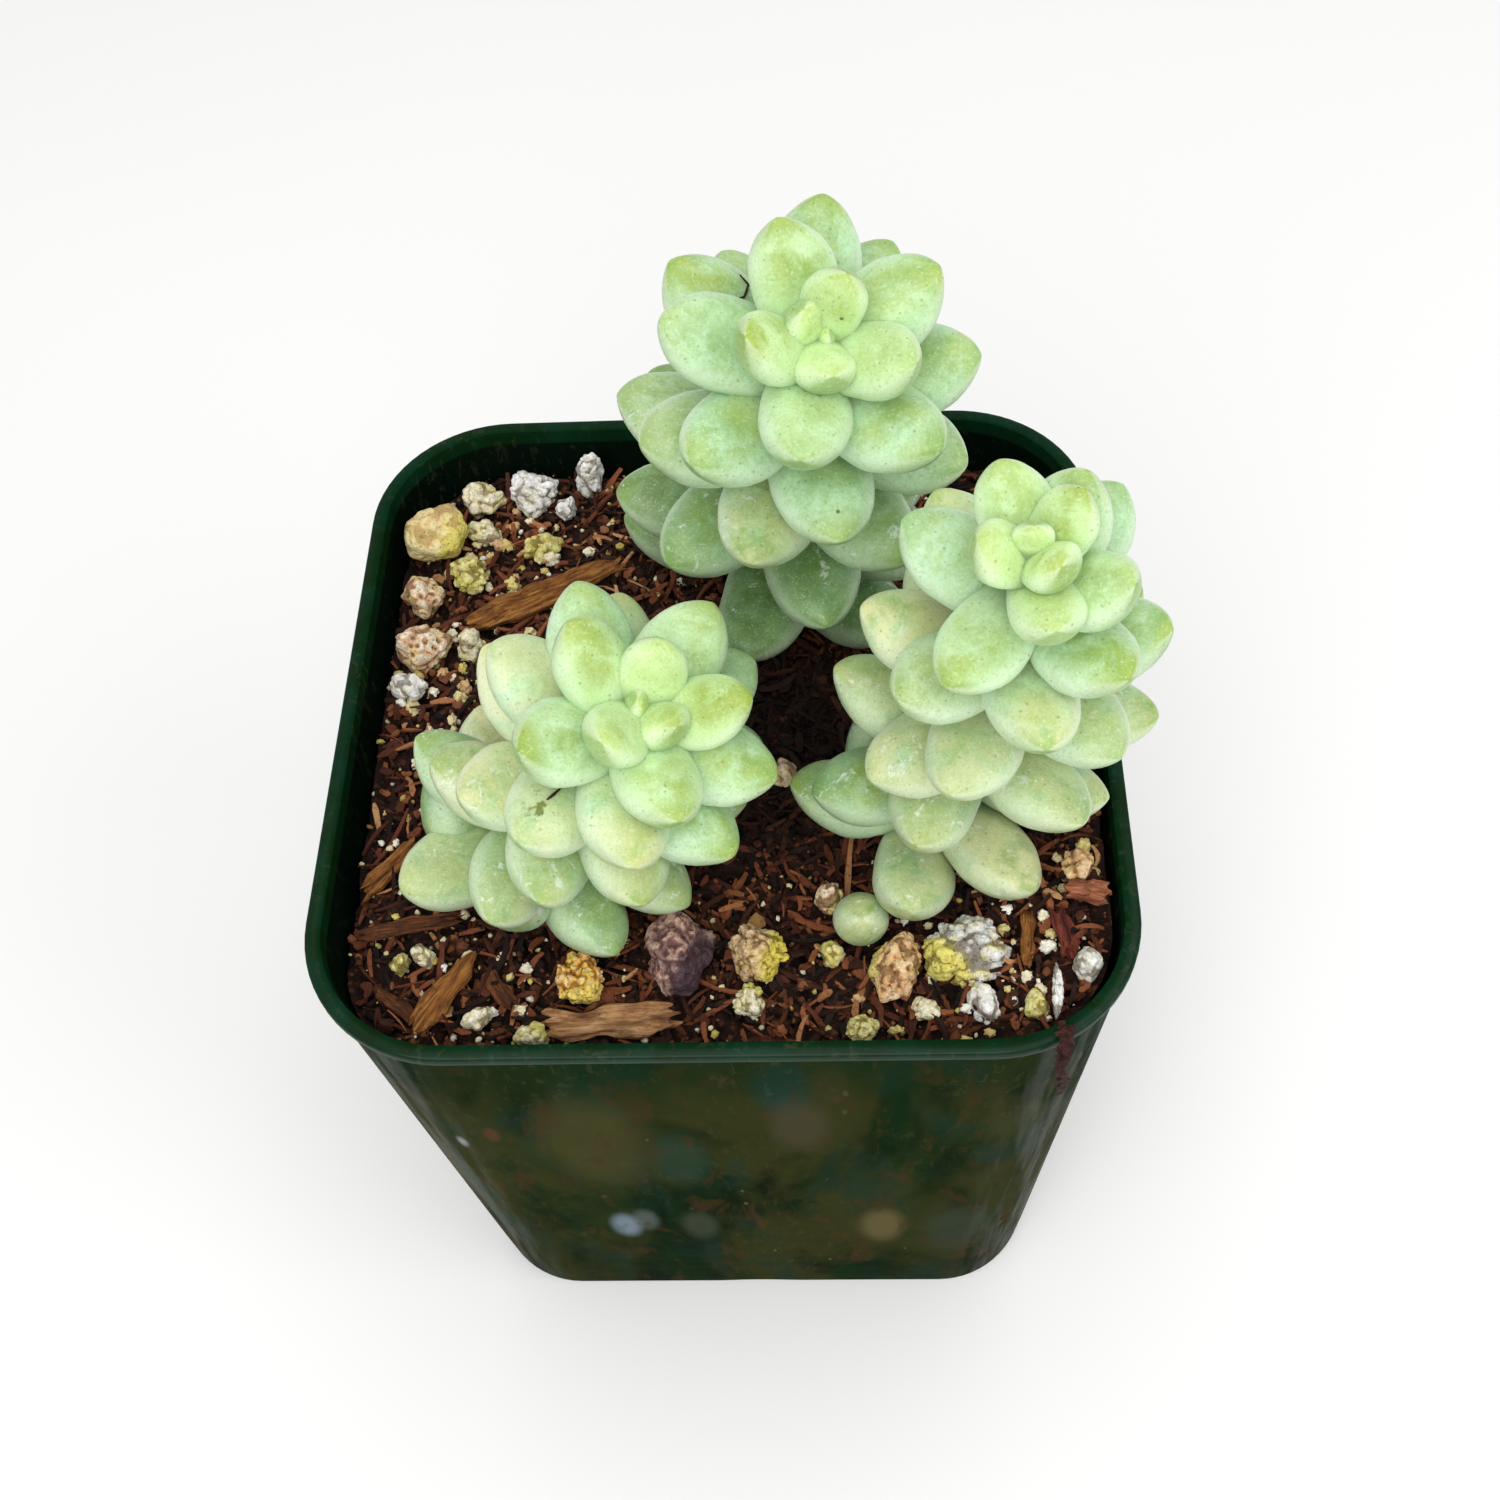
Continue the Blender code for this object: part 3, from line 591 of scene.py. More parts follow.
class Wiring:
    """A short way to add a tree's nodes and join them."""

    def __init__(self, tree: bpy.types.NodeTree) -> None:
        """Work on one node tree."""
        self.tree = tree

    def add(self, kind: str, settings: dict[str, Any] | None = None,
            inputs: dict[Any, Any] | None = None) -> bpy.types.Node:
        """Add a node, set its options, and feed its inputs."""
        node = self.tree.nodes.new("ShaderNode" + kind)
        for name, value in (settings or {}).items():
            setattr(node, name, value)
        for key, value in (inputs or {}).items():
            self.feed(node.inputs[key], value)
        return node

    def feed(self, socket: Socket, value: Any) -> None:
        """Link a socket to another, or give it a plain value."""
        if isinstance(value, Socket):
            self.tree.links.new(value, socket)
        else:
            socket.default_value = value

    def math(self, operation: str, first: Any, second: Any = 0.0) -> Socket:
        """Return the result of a sum on two numbers."""
        return self.add("Math", {"operation": operation}, {0: first, 1: second}).outputs[0]

    def times(self, first: Any, second: Any) -> Socket:
        """Return the product of two numbers."""
        return self.math("MULTIPLY", first, second)

    def plus(self, first: Any, second: Any) -> Socket:
        """Return two numbers added together."""
        return self.math("ADD", first, second)

    def mix(self, share: Any, first: Any, second: Any) -> Socket:
        """Return a blend of two colours, which is all the second where the share is 1."""
        return self.add("Mix", {"data_type": "RGBA"}, {0: share, 6: first, 7: second}).outputs[2]

    def coats(self, colour: Any, *coats: tuple[Any, Any]) -> Socket:
        """Return a colour with others laid over it in turn, each given after the share of it that shows."""
        for share, coat in coats:
            colour = self.mix(share, colour, coat)
        return colour

    def spread(self, value: Any, low: float, high: float, to_low: float = 0.0,
               to_high: float = 1.0) -> Socket:
        """Return a value carried smoothly from one range to another."""
        node = self.add("MapRange", {"interpolation_type": "SMOOTHSTEP"},
                        {0: value, 1: low, 2: high, 3: to_low, 4: to_high})
        return node.outputs[0]

    def ramp(self, value: Any, stops: Iterable[tuple[float, Colour]]) -> Socket:
        """Return a colour read off a ramp. The first two stops are its ends, and the others lie between."""
        node = self.add("ValToRGB", None, {0: value})
        elements = node.color_ramp.elements
        for index, (place, colour) in enumerate(stops):
            element = elements[index] if index < 2 else elements.new(place)
            element.position = place
            element.color = colour
        return node.outputs[0]

    def noise(self, vector: Any, scale: float, detail: float = 3.0, rough: float = 0.55,
              twist: float = 0.0) -> Socket:
        """Return cloudy noise around 0.5."""
        return self.add("TexNoise", None, {"Vector": vector, "Scale": scale, "Detail": detail,
                                           "Roughness": rough, "Distortion": twist}).outputs[0]

    def cells(self, vector: Any, scale: Any) -> Socket:
        """Return the distance to the nearest point of a scatter."""
        return self.add("TexVoronoi", None, {"Vector": vector, "Scale": scale}).outputs["Distance"]

    def stretched(self, vector: Any, scale: Triple) -> Socket:
        """Return a place scaled along each axis."""
        return self.add("Mapping", None, {"Vector": vector, "Scale": scale}).outputs[0]

    def millimetres(self) -> Socket:
        """Return the place on the piece in millimetres."""
        return self.stretched(self.add("TexCoord").outputs["Object"], (1 / MM, 1 / MM, 1 / MM))

    def blot(self, vector: Any, centre: Triple, radius: float) -> Socket:
        """Return a soft round spot about a centre."""
        away = self.add("VectorMath", {"operation": "DISTANCE"}, {0: vector, 1: centre}).outputs["Value"]
        return self.spread(away, radius, radius * 0.35)

    def stored(self, name: str, output: str = "Fac") -> Socket:
        """Return a value stored on the piece's vertices."""
        return self.add("Attribute", {"attribute_name": name}).outputs[output]

    def group(self, tree: bpy.types.NodeTree, inputs: dict[str, Any]) -> bpy.types.Node:
        """Place a shared group."""
        return self.add("Group", {"node_tree": tree}, inputs)

    def patches(self, tree: bpy.types.NodeTree, vector: Any, scale: float, level: float, softness: float,
                wander: float = 0.5) -> Socket:
        """Return the mask of the shared soft patches: more of them show where the level is low."""
        return self.group(tree, {"Vector": vector, "Scale": scale, "Level": level, "Softness": softness,
                                 "Wander": wander}).outputs["Mask"]

    def specks(self, tree: bpy.types.NodeTree, vector: Any, scale: float, size: float,
               share: float) -> Socket:
        """Return the mask of the shared specks, of which only a share shows."""
        return self.group(tree, {"Vector": vector, "Scale": scale, "Size": size,
                                 "Share": share}).outputs["Mask"]

    def bump(self, height: Any, distance: float, strength: float) -> Socket:
        """Return a normal raised by a height, for a distance in millimetres."""
        return self.add("Bump", None, {"Height": height, "Distance": distance * MM,
                                       "Strength": strength}).outputs[0]


def new_group(name: str, inputs: dict[str, float | None],
              outputs: dict[str, str]) -> tuple[Wiring, bpy.types.Node, bpy.types.Node]:
    """Start a shared node group.

    Args:
        name: The group's name.
        inputs: Its input names, each with a default number, or None for a vector.
        outputs: Its output names, each with a socket type.

    Returns:
        Its wiring, its input node and its output node.
    """
    tree = bpy.data.node_groups.new(name, "ShaderNodeTree")
    for socket_name, default in inputs.items():
        kind = "NodeSocketVector" if default is None else "NodeSocketFloat"
        socket = tree.interface.new_socket(socket_name, in_out="INPUT", socket_type=kind)
        if default is not None:
            socket.default_value = default
    for socket_name, kind in outputs.items():
        tree.interface.new_socket(socket_name, in_out="OUTPUT", socket_type=kind)
    return Wiring(tree), tree.nodes.new("NodeGroupInput"), tree.nodes.new("NodeGroupOutput")


class Effects:
    """Node groups that several finishes share."""

    def __init__(self) -> None:
        """Build every group once."""
        self.patches = self._patches()
        self.specks = self._specks()
        self.grit = self._grit()

    def _patches(self) -> bpy.types.NodeTree:
        """Build soft-edged irregular patches: where noise passes a level."""
        wires, given, result = new_group(
            "soft_patches", {"Vector": None, "Scale": 1.0, "Level": 0.5, "Softness": 0.1, "Wander": 0.3},
            {"Mask": "NodeSocketFloat"})
        vector, scale, level, softness, wander = (given.outputs[name] for name in (
            "Vector", "Scale", "Level", "Softness", "Wander"))
        cloud = wires.noise(vector, scale, 4.0, 0.6, wander)
        mask = wires.spread(cloud, wires.math("SUBTRACT", level, softness), wires.plus(level, softness))
        wires.feed(result.inputs["Mask"], mask)
        return wires.tree

    def _specks(self) -> bpy.types.NodeTree:
        """Build small scattered dots, of which only a share shows."""
        wires, given, result = new_group(
            "specks", {"Vector": None, "Scale": 1.0, "Size": 0.2, "Share": 0.5}, {"Mask": "NodeSocketFloat"})
        scatter = wires.add("TexVoronoi", None, {"Vector": given.outputs["Vector"],
                                                 "Scale": given.outputs["Scale"]})
        pick = wires.add("SeparateColor", None, {0: scatter.outputs["Color"]})
        kept = wires.math("LESS_THAN", pick.outputs[0], given.outputs["Share"])
        grown = wires.times(given.outputs["Size"], wires.plus(pick.outputs[1], 0.4))
        dot = wires.spread(scatter.outputs["Distance"], grown, wires.times(grown, 0.4))
        wires.feed(result.inputs["Mask"], wires.times(dot, kept))
        return wires.tree

    def _grit(self) -> bpy.types.NodeTree:
        """Build the height of a gritty, pitted surface, and a mask of its pits."""
        wires, given, result = new_group(
            "grit", {"Vector": None, "Scale": 1.0, "Pits": 0.5},
            {"Height": "NodeSocketFloat", "Pits": "NodeSocketFloat"})
        place = given.outputs["Vector"]
        scale = given.outputs["Scale"]
        coarse = wires.noise(place, scale, 6.0, 0.65)
        grains = wires.cells(place, wires.times(scale, 2.3))
        holes = wires.cells(place, wires.times(scale, 1.1))
        pit = wires.spread(holes, 0.32, 0.12)
        pit = wires.times(pit, given.outputs["Pits"])
        height = wires.plus(coarse, wires.times(grains, 0.35))
        wires.feed(result.inputs["Height"], wires.math("SUBTRACT", height, wires.times(pit, 0.8)))
        wires.feed(result.inputs["Pits"], pit)
        return wires.tree


def new_finish(name: str) -> tuple[Finish, Wiring, bpy.types.Node]:
    """Start a material.

    Args:
        name: The material's name.

    Returns:
        The material, its wiring and its Principled shader.
    """
    finish = bpy.data.materials.new(name)
    finish.use_nodes = True
    return finish, Wiring(finish.node_tree), finish.node_tree.nodes["Principled BSDF"]


@dataclass(frozen=True)
class LeafSkin:
    """Waxy leaf skin: a pale bloom over green flesh that shows towards the middle and the tip. Painted shade
    darkens the undersides, the roots of the leaves and the lower leaves, and pale scuffed patches are partly
    painted glints.
    """

    name: str
    bloom: Colour
    flesh: Colour
    ripe: Colour
    young: Colour
    shade: Colour
    deep: Colour = paint(74, 114, 44)
    scar: Colour = paint(206, 208, 140)
    scar_edge: Colour = paint(104, 116, 48)
    scars: tuple[tuple[Triple, float], ...] = (((-11.5, -19.3, 81.8), 0.9),)
    tan: Colour = paint(226, 222, 172)
    scuff: Colour = paint(226, 242, 218)
    speck: Colour = paint(92, 112, 62)
    crumb: Colour = paint(70, 62, 34)
    # Colour of the scuffed patches of bloom, which are partly painted glints.
    wax_and_glint: Colour = paint(228, 236, 224)
    roughness: float = 0.40
    glow: float = 0.22

    def make(self, effects: Effects) -> Finish:
        """Return the material."""
        finish, wires, shader = new_finish(self.name)
        place = wires.millimetres()
        share, side, rise, age, tone, tan, dim = (wires.stored("leaf_" + mark) for mark in (
            "share", "side", "rise", "age", "tone", "tan", "dim"))
        side = wires.math("ABSOLUTE", side)

        def patch(scale: float, level: float, softness: float, wander: float = 0.6) -> Socket:
            """Return soft patches on the leaf."""
            return wires.patches(effects.patches, place, scale, level, softness, wander)

        middle = wires.times(wires.spread(side, 1.0, 0.25), wires.spread(share, 0.25, 0.60))
        tip = wires.spread(share, 0.74, 0.98)
        worn = wires.math("MAXIMUM", wires.times(middle, patch(0.28, 0.47, 0.16)), tip)
        worn = wires.times(worn, wires.plus(wires.times(tone, 0.5), 0.5))
        flesh = wires.coats(self.flesh, (patch(0.22, 0.52, 0.20), self.ripe),
                            (wires.spread(age, 0.35, 0.9, 0.0, 0.55), self.deep))
        faded = wires.times(tan, patch(0.30, 0.44, 0.16))
        # Painted shade on the lower leaves, strongest towards each leaf's root.
        shaded_low_leaves = wires.times(dim, wires.spread(share, 1.15, 0.5, 0.55, 1.0))
        stipple = wires.noise(place, 4.5, 4.0, 0.75)
        dots = wires.specks(effects.specks, place, 2.0, 0.22, 0.40)
        crumbs = wires.specks(effects.specks, place, 0.42, 0.060, 0.35)
        coats = [
            (worn, flesh),
            (wires.times(patch(1.6, 0.52, 0.12), 0.30), flesh),
            (wires.spread(age, 0.30, 0.02, 0.0, 0.85), wires.mix(worn, self.young, self.ripe)),
            # Painted shade: the undersides of the leaves darken towards the shade colour.
            (wires.times(wires.spread(rise, 0.1, -0.7), 0.45), self.shade),
            (wires.spread(age, 0.35, 0.95, 0.0, 0.45),
             wires.mix(patch(0.35, 0.47, 0.14), self.shade, self.ripe)),
            (wires.times(faded, 0.85), self.tan),
            # Painted shade on the lower leaves.
            (shaded_low_leaves, wires.mix(patch(0.4, 0.5, 0.15), self.deep, self.shade)),
            (wires.spread(side, 0.72, 1.0, 0.0, 0.36), self.scuff),
            (wires.spread(stipple, 0.53, 0.70, 0.0, 0.42), self.scuff),
            (wires.spread(stipple, 0.47, 0.32, 0.0, 0.36), self.flesh),
            (wires.times(dots, 0.42), self.speck),
            (wires.times(crumbs, 0.8), self.crumb),
        ]
        frayed = wires.add("VectorMath", {"operation": "ADD"}, {0: place, 1: wires.noise(place, 1.6)})
        for centre, radius in self.scars:
            spot = tuple(value + 0.5 for value in centre)
            edge = wires.times(wires.blot(frayed.outputs[0], spot, radius * 2.0), patch(1.3, 0.53, 0.05))
            coats += [(wires.times(wires.blot(frayed.outputs[0], spot, radius), 0.5), self.scar),
                      (wires.times(edge, 0.85), self.scar_edge)]
        # Scuffed patches of bloom on older leaves: partly real scuffs and partly painted glints.
        wax_scuffs_and_glints = wires.times(patch(0.45, 0.62, 0.03, 1.2), patch(2.6, 0.50, 0.10))
        wax_scuffs_and_glints = wires.times(wax_scuffs_and_glints, wires.spread(age, 0.30, 0.60))
        coats += [(wires.times(wax_scuffs_and_glints, 0.75), self.wax_and_glint),
                  # Painted shade: each leaf darkens towards its root, where it meets the stalk.
                  (wires.spread(share, 0.38, 0.05, 0.0, 0.65), self.deep)]
        wires.feed(shader.inputs["Base Color"], wires.coats(self.bloom, *coats))
        gloss = wires.plus(wires.times(wires.noise(place, 1.1, 4.0, 0.6), 0.16), self.roughness - 0.08)
        wires.feed(shader.inputs["Roughness"], wires.times(gloss, wires.spread(share, 0.60, 0.95, 1.0, 0.74)))
        fine = wires.noise(place, 7.0, 4.0, 0.6)
        broad = wires.noise(place, 0.55, 3.0, 0.5)
        height = wires.plus(wires.times(fine, 0.10), wires.times(broad, 0.9))
        height = wires.math("SUBTRACT", height, wires.times(crumbs, 0.15))
        height = wires.plus(height, wires.times(wax_scuffs_and_glints, 0.12))
        wires.feed(shader.inputs["Normal"], wires.bump(height, 0.30, 0.55))
        shader.inputs["Subsurface Weight"].default_value = self.glow
        shader.inputs["Subsurface Radius"].default_value = (0.8, 1.0, 0.45)
        shader.inputs["Subsurface Scale"].default_value = 1.6 * MM
        shader.inputs["IOR"].default_value = 1.42
        shader.inputs["Sheen Weight"].default_value = 0.10
        shader.inputs["Sheen Roughness"].default_value = 0.45
        shader.inputs["Sheen Tint"].default_value = paint(226, 240, 226)
        return finish


@dataclass(frozen=True)
class Glimpse:
    """A blurred spot of the front wall, where something pale or dark shows through the plastic."""

    centre: Triple
    radius: float
    colour: Colour
    share: float


@dataclass(frozen=True)
class PotPlastic:
    """Thin dark green moulded plastic, with the damp mix and pale stones dimly seen through it."""

    green: Colour = paint(11, 36, 12)
    deep: Colour = paint(6, 19, 3)
    olive: Colour = paint(50, 52, 20)
    brown: Colour = paint(62, 46, 22)
    teal: Colour = paint(20, 46, 36)
    rim: Colour = paint(11, 46, 28)
    dust: Colour = paint(110, 106, 80)
    # Colour of the painted shade on every face that is not on the outside, such as the inner wall.
    inside: Colour = paint(6, 18, 12)
    roughness: float = 0.28
    rim_from: float = 65.6
    squash: float = 0.38
    glimpses: tuple[Glimpse, ...] = (
        Glimpse((-11.6, -29.1, 21.9), 1.9, paint(120, 136, 150), 0.75),
        Glimpse((-9.6, -29.1, 23.6), 1.7, paint(92, 100, 96), 0.6),
        Glimpse((12.6, -29.1, 21.3), 2.8, paint(106, 94, 62), 0.60),
        Glimpse((-4.6, -29.1, 21.7), 2.4, paint(66, 72, 58), 0.6),
        Glimpse((-22.8, -30.4, 45.8), 0.8, paint(160, 164, 160), 0.7),
        Glimpse((-19.7, -30.6, 48.8), 0.9, paint(88, 56, 38), 0.6),
        Glimpse((4.5, -31.2, 59.5), 3.2, paint(24, 58, 54), 0.7),
        Glimpse((-4.8, -30.2, 41.7), 3.6, paint(46, 64, 50), 0.6),
        Glimpse((-11.4, -30.5, 46.0), 6.5, paint(66, 64, 34), 0.75),
        Glimpse((8.3, -31.2, 59.9), 2.2, paint(66, 58, 30), 0.6),
        Glimpse((19.6, -29.0, 19.4), 4.2, paint(56, 64, 52), 0.5),
        Glimpse((5.7, -30.7, 50.6), 3.4, paint(74, 66, 52), 0.5),
    )

    def make(self, effects: Effects) -> Finish:
        """Return the material."""
        finish, wires, shader = new_finish("pot_plastic")
        place = wires.millimetres()
        upright = wires.stretched(place, (1.0, 1.0, self.squash))
        high_up = wires.add("SeparateXYZ", None, {0: place}).outputs[2]
        outer = wires.stored("pot_outside")

        def patch(scale: float, level: float, softness: float) -> Socket:
            """Return patches drawn out up the wall."""
            return wires.patches(effects.patches, upright, scale, level, softness)

        coats = [
            (patch(0.10, 0.50, 0.14), self.deep),
            (wires.times(patch(0.070, 0.49, 0.10), 0.85), self.olive),
            (wires.times(patch(0.14, 0.57, 0.08), 0.60), self.teal),
        ]
        for glimpse in self.glimpses:
            x, y, z = glimpse.centre
            seen = wires.blot(upright, (x, y, z * self.squash), glimpse.radius)
            coats.append((wires.times(seen, glimpse.share), glimpse.colour))
        bits = wires.times(wires.specks(effects.specks, upright, 0.55, 0.16, 0.30), patch(0.09, 0.50, 0.08))
        bead = wires.spread(high_up, self.rim_from - 0.25, self.rim_from + 0.1)
        grime = wires.times(patch(1.4, 0.60, 0.05), patch(0.12, 0.5, 0.15))
        coats += [
            (wires.times(patch(0.34, 0.60, 0.06), 0.55), self.brown),
            (wires.times(bits, 0.45), self.dust),
            (wires.spread(high_up, 52.0, 63.0, 0.0, 0.55), self.green),
            # Painted shade: all but the outer faces darken to the inside colour.
            (wires.spread(outer, 0.4, 0.6, 0.95, 0.0), self.inside),
            (bead, wires.mix(patch(0.3, 0.5, 0.2), self.rim, self.green)),
            (wires.times(grime, 0.10), self.dust),
        ]
        wires.feed(shader.inputs["Base Color"], wires.coats(self.green, *coats))
        haze = wires.times(wires.noise(place, 0.5, 5.0, 0.65), 0.22)
        haze = wires.plus(haze, wires.times(grime, 0.3))
        wires.feed(shader.inputs["Roughness"], wires.plus(haze, self.roughness - 0.04))
        drawn = wires.stretched(place, (0.55, 0.55, 0.035))
        streaks = wires.spread(wires.noise(drawn, 1.0, 3.0, 0.6), 0.40, 0.66)
        corner = wires.times(wires.times(wires.stored("pot_corner"), streaks), 0.17)
        gloss = wires.math("MAXIMUM", wires.times(bead, 0.26), corner)
        gloss = wires.times(gloss, outer)
        wires.feed(shader.inputs["Coat Weight"], wires.plus(gloss, 0.015))
        shader.inputs["Coat Roughness"].default_value = 0.2
        ripple = wires.noise(place, 0.16, 2.0, 0.5)
        scratch = wires.noise(place, 3.2, 3.0, 0.6)
        height = wires.plus(ripple, wires.times(scratch, 0.03))
        wires.feed(shader.inputs["Normal"], wires.bump(height, 0.55, 0.6))
        shader.inputs["Specular IOR Level"].default_value = 0.0005
        return finish


@dataclass(frozen=True)
class StonePaint:
    """Rough knobbly stone in three tones, with dark pits."""

    name: str
    body: Colour
    patch: Colour
    crest: Colour
    # Colour of the painted shade in pits and creases, and of dark speckles.
    pit: Colour = paint(70, 44, 26)
    pit_share: float = 0.6
    grain: float = 2.2
    depth: float = 0.16

    def make(self, effects: Effects) -> Finish:
        """Return the material."""
        finish, wires, shader = new_finish(self.name)
        place = wires.millimetres()
        crest = wires.stored("knob")
        broad = wires.patches(effects.patches, place, 0.42, 0.56, 0.08)
        edge = wires.plus(wires.stored("stain"), wires.times(wires.noise(place, 0.9), 0.5))
        stain = wires.math("MAXIMUM", wires.times(broad, 0.6), wires.spread(edge, 0.50, 0.90))
        grit = wires.group(effects.grit, {"Vector": place, "Scale": self.grain, "Pits": self.pit_share})
        wires.feed(shader.inputs["Base Color"], wires.coats(
            self.body,
            (wires.spread(crest, 0.40, 0.95, 0.0, 0.85), self.crest),
            (wires.times(stain, 0.9), self.patch),
            # Painted shade: the pits darken to the pit colour.
            (wires.times(grit.outputs["Pits"], 0.75), self.pit),
            (wires.spread(wires.noise(place, 2.6, 4.0, 0.7), 0.42, 0.62, 0.0, 0.34), self.pit),
            # Painted shade: the creases between knobs darken to the pit colour.
            (wires.spread(crest, 0.26, 0.0, 0.0, 0.62), self.pit)))
        wires.feed(shader.inputs["Normal"], wires.bump(grit.outputs["Height"], self.depth, 0.9))
        shader.inputs["Roughness"].default_value = 0.85
        shader.inputs["Specular IOR Level"].default_value = 0.3
        return finish


@dataclass(frozen=True)
class BarkPaint:
    """Dry fibrous bark, with its grain along the piece."""

    name: str
    pale: Colour
    middle: Colour
    dark: Colour
    streaks: float = 0.5

    def make(self, effects: Effects) -> Finish:
        """Return the material."""
        finish, wires, shader = new_finish(self.name)
        place = wires.millimetres()
        local = wires.stored("grain", "Vector")
        drawn = wires.stretched(local, (0.22, 2.6, 2.6))
        fibre = wires.noise(drawn, 1.0, 6.0, 0.65, 0.4)
        thread = wires.noise(drawn, 3.4, 3.0, 0.6)
        colour = wires.ramp(fibre, ((0.30, self.dark), (0.72, self.pale), (0.50, self.middle)))
        stain = wires.patches(effects.patches, place, 0.45, 0.56, 0.1)
        wires.feed(shader.inputs["Base Color"], wires.coats(
            colour, (wires.spread(thread, 0.50, 0.36, 0.0, self.streaks), self.dark),
            (wires.times(stain, 0.45), self.dark)))
        height = wires.plus(fibre, wires.times(thread, 0.5))
        wires.feed(shader.inputs["Normal"], wires.bump(height, 0.30, 0.9))
        shader.inputs["Roughness"].default_value = 0.78
        shader.inputs["Specular IOR Level"].default_value = 0.3
        return finish


@dataclass(frozen=True)
class ScatterPaint:
    """Many small bits of one kind, each with its own tone along a ramp; on the ground, shreds and crumbs the
    tone also carries painted shade.
    """

    name: str
    tones: tuple[tuple[float, Colour], ...]
    mottle: Colour
    roughness: float = 0.82
    depth: float = 0.10
    flecks: float = 0.0

    def make(self, effects: Effects) -> Finish:
        """Return the material."""
        finish, wires, shader = new_finish(self.name)
        place = wires.millimetres()
        colour = wires.ramp(wires.stored("tone"), self.tones)
        if self.flecks:
            bits = wires.specks(effects.specks, place, 1.6, 0.5, self.flecks)
            lit = wires.times(bits, wires.stored("tone"))
            colour = wires.mix(lit, colour, self.tones[1][1])
        cloud = wires.noise(place, 2.4, 4.0, 0.65)
        colour = wires.mix(wires.spread(cloud, 0.50, 0.72, 0.0, 0.55), colour, self.mottle)
        wires.feed(shader.inputs["Base Color"], colour)
        grit = wires.group(effects.grit, {"Vector": place, "Scale": 3.0, "Pits": 0.3})
        wires.feed(shader.inputs["Normal"], wires.bump(grit.outputs["Height"], self.depth, 0.8))
        shader.inputs["Roughness"].default_value = self.roughness
        shader.inputs["Specular IOR Level"].default_value = 0.3
        return finish


def store(mesh: bpy.types.Mesh, name: str, values: np.ndarray) -> None:
    """Keep a number on each of a mesh's vertices."""
    layer = mesh.attributes.new(name, "FLOAT", "POINT")
    layer.data.foreach_set("value", np.ascontiguousarray(values, dtype=np.float32))


def store_vectors(mesh: bpy.types.Mesh, name: str, values: np.ndarray) -> None:
    """Keep a vector on each of a mesh's vertices."""
    layer = mesh.attributes.new(name, "FLOAT_VECTOR", "POINT")
    layer.data.foreach_set("vector", np.ascontiguousarray(values, dtype=np.float32).ravel())


# The pot


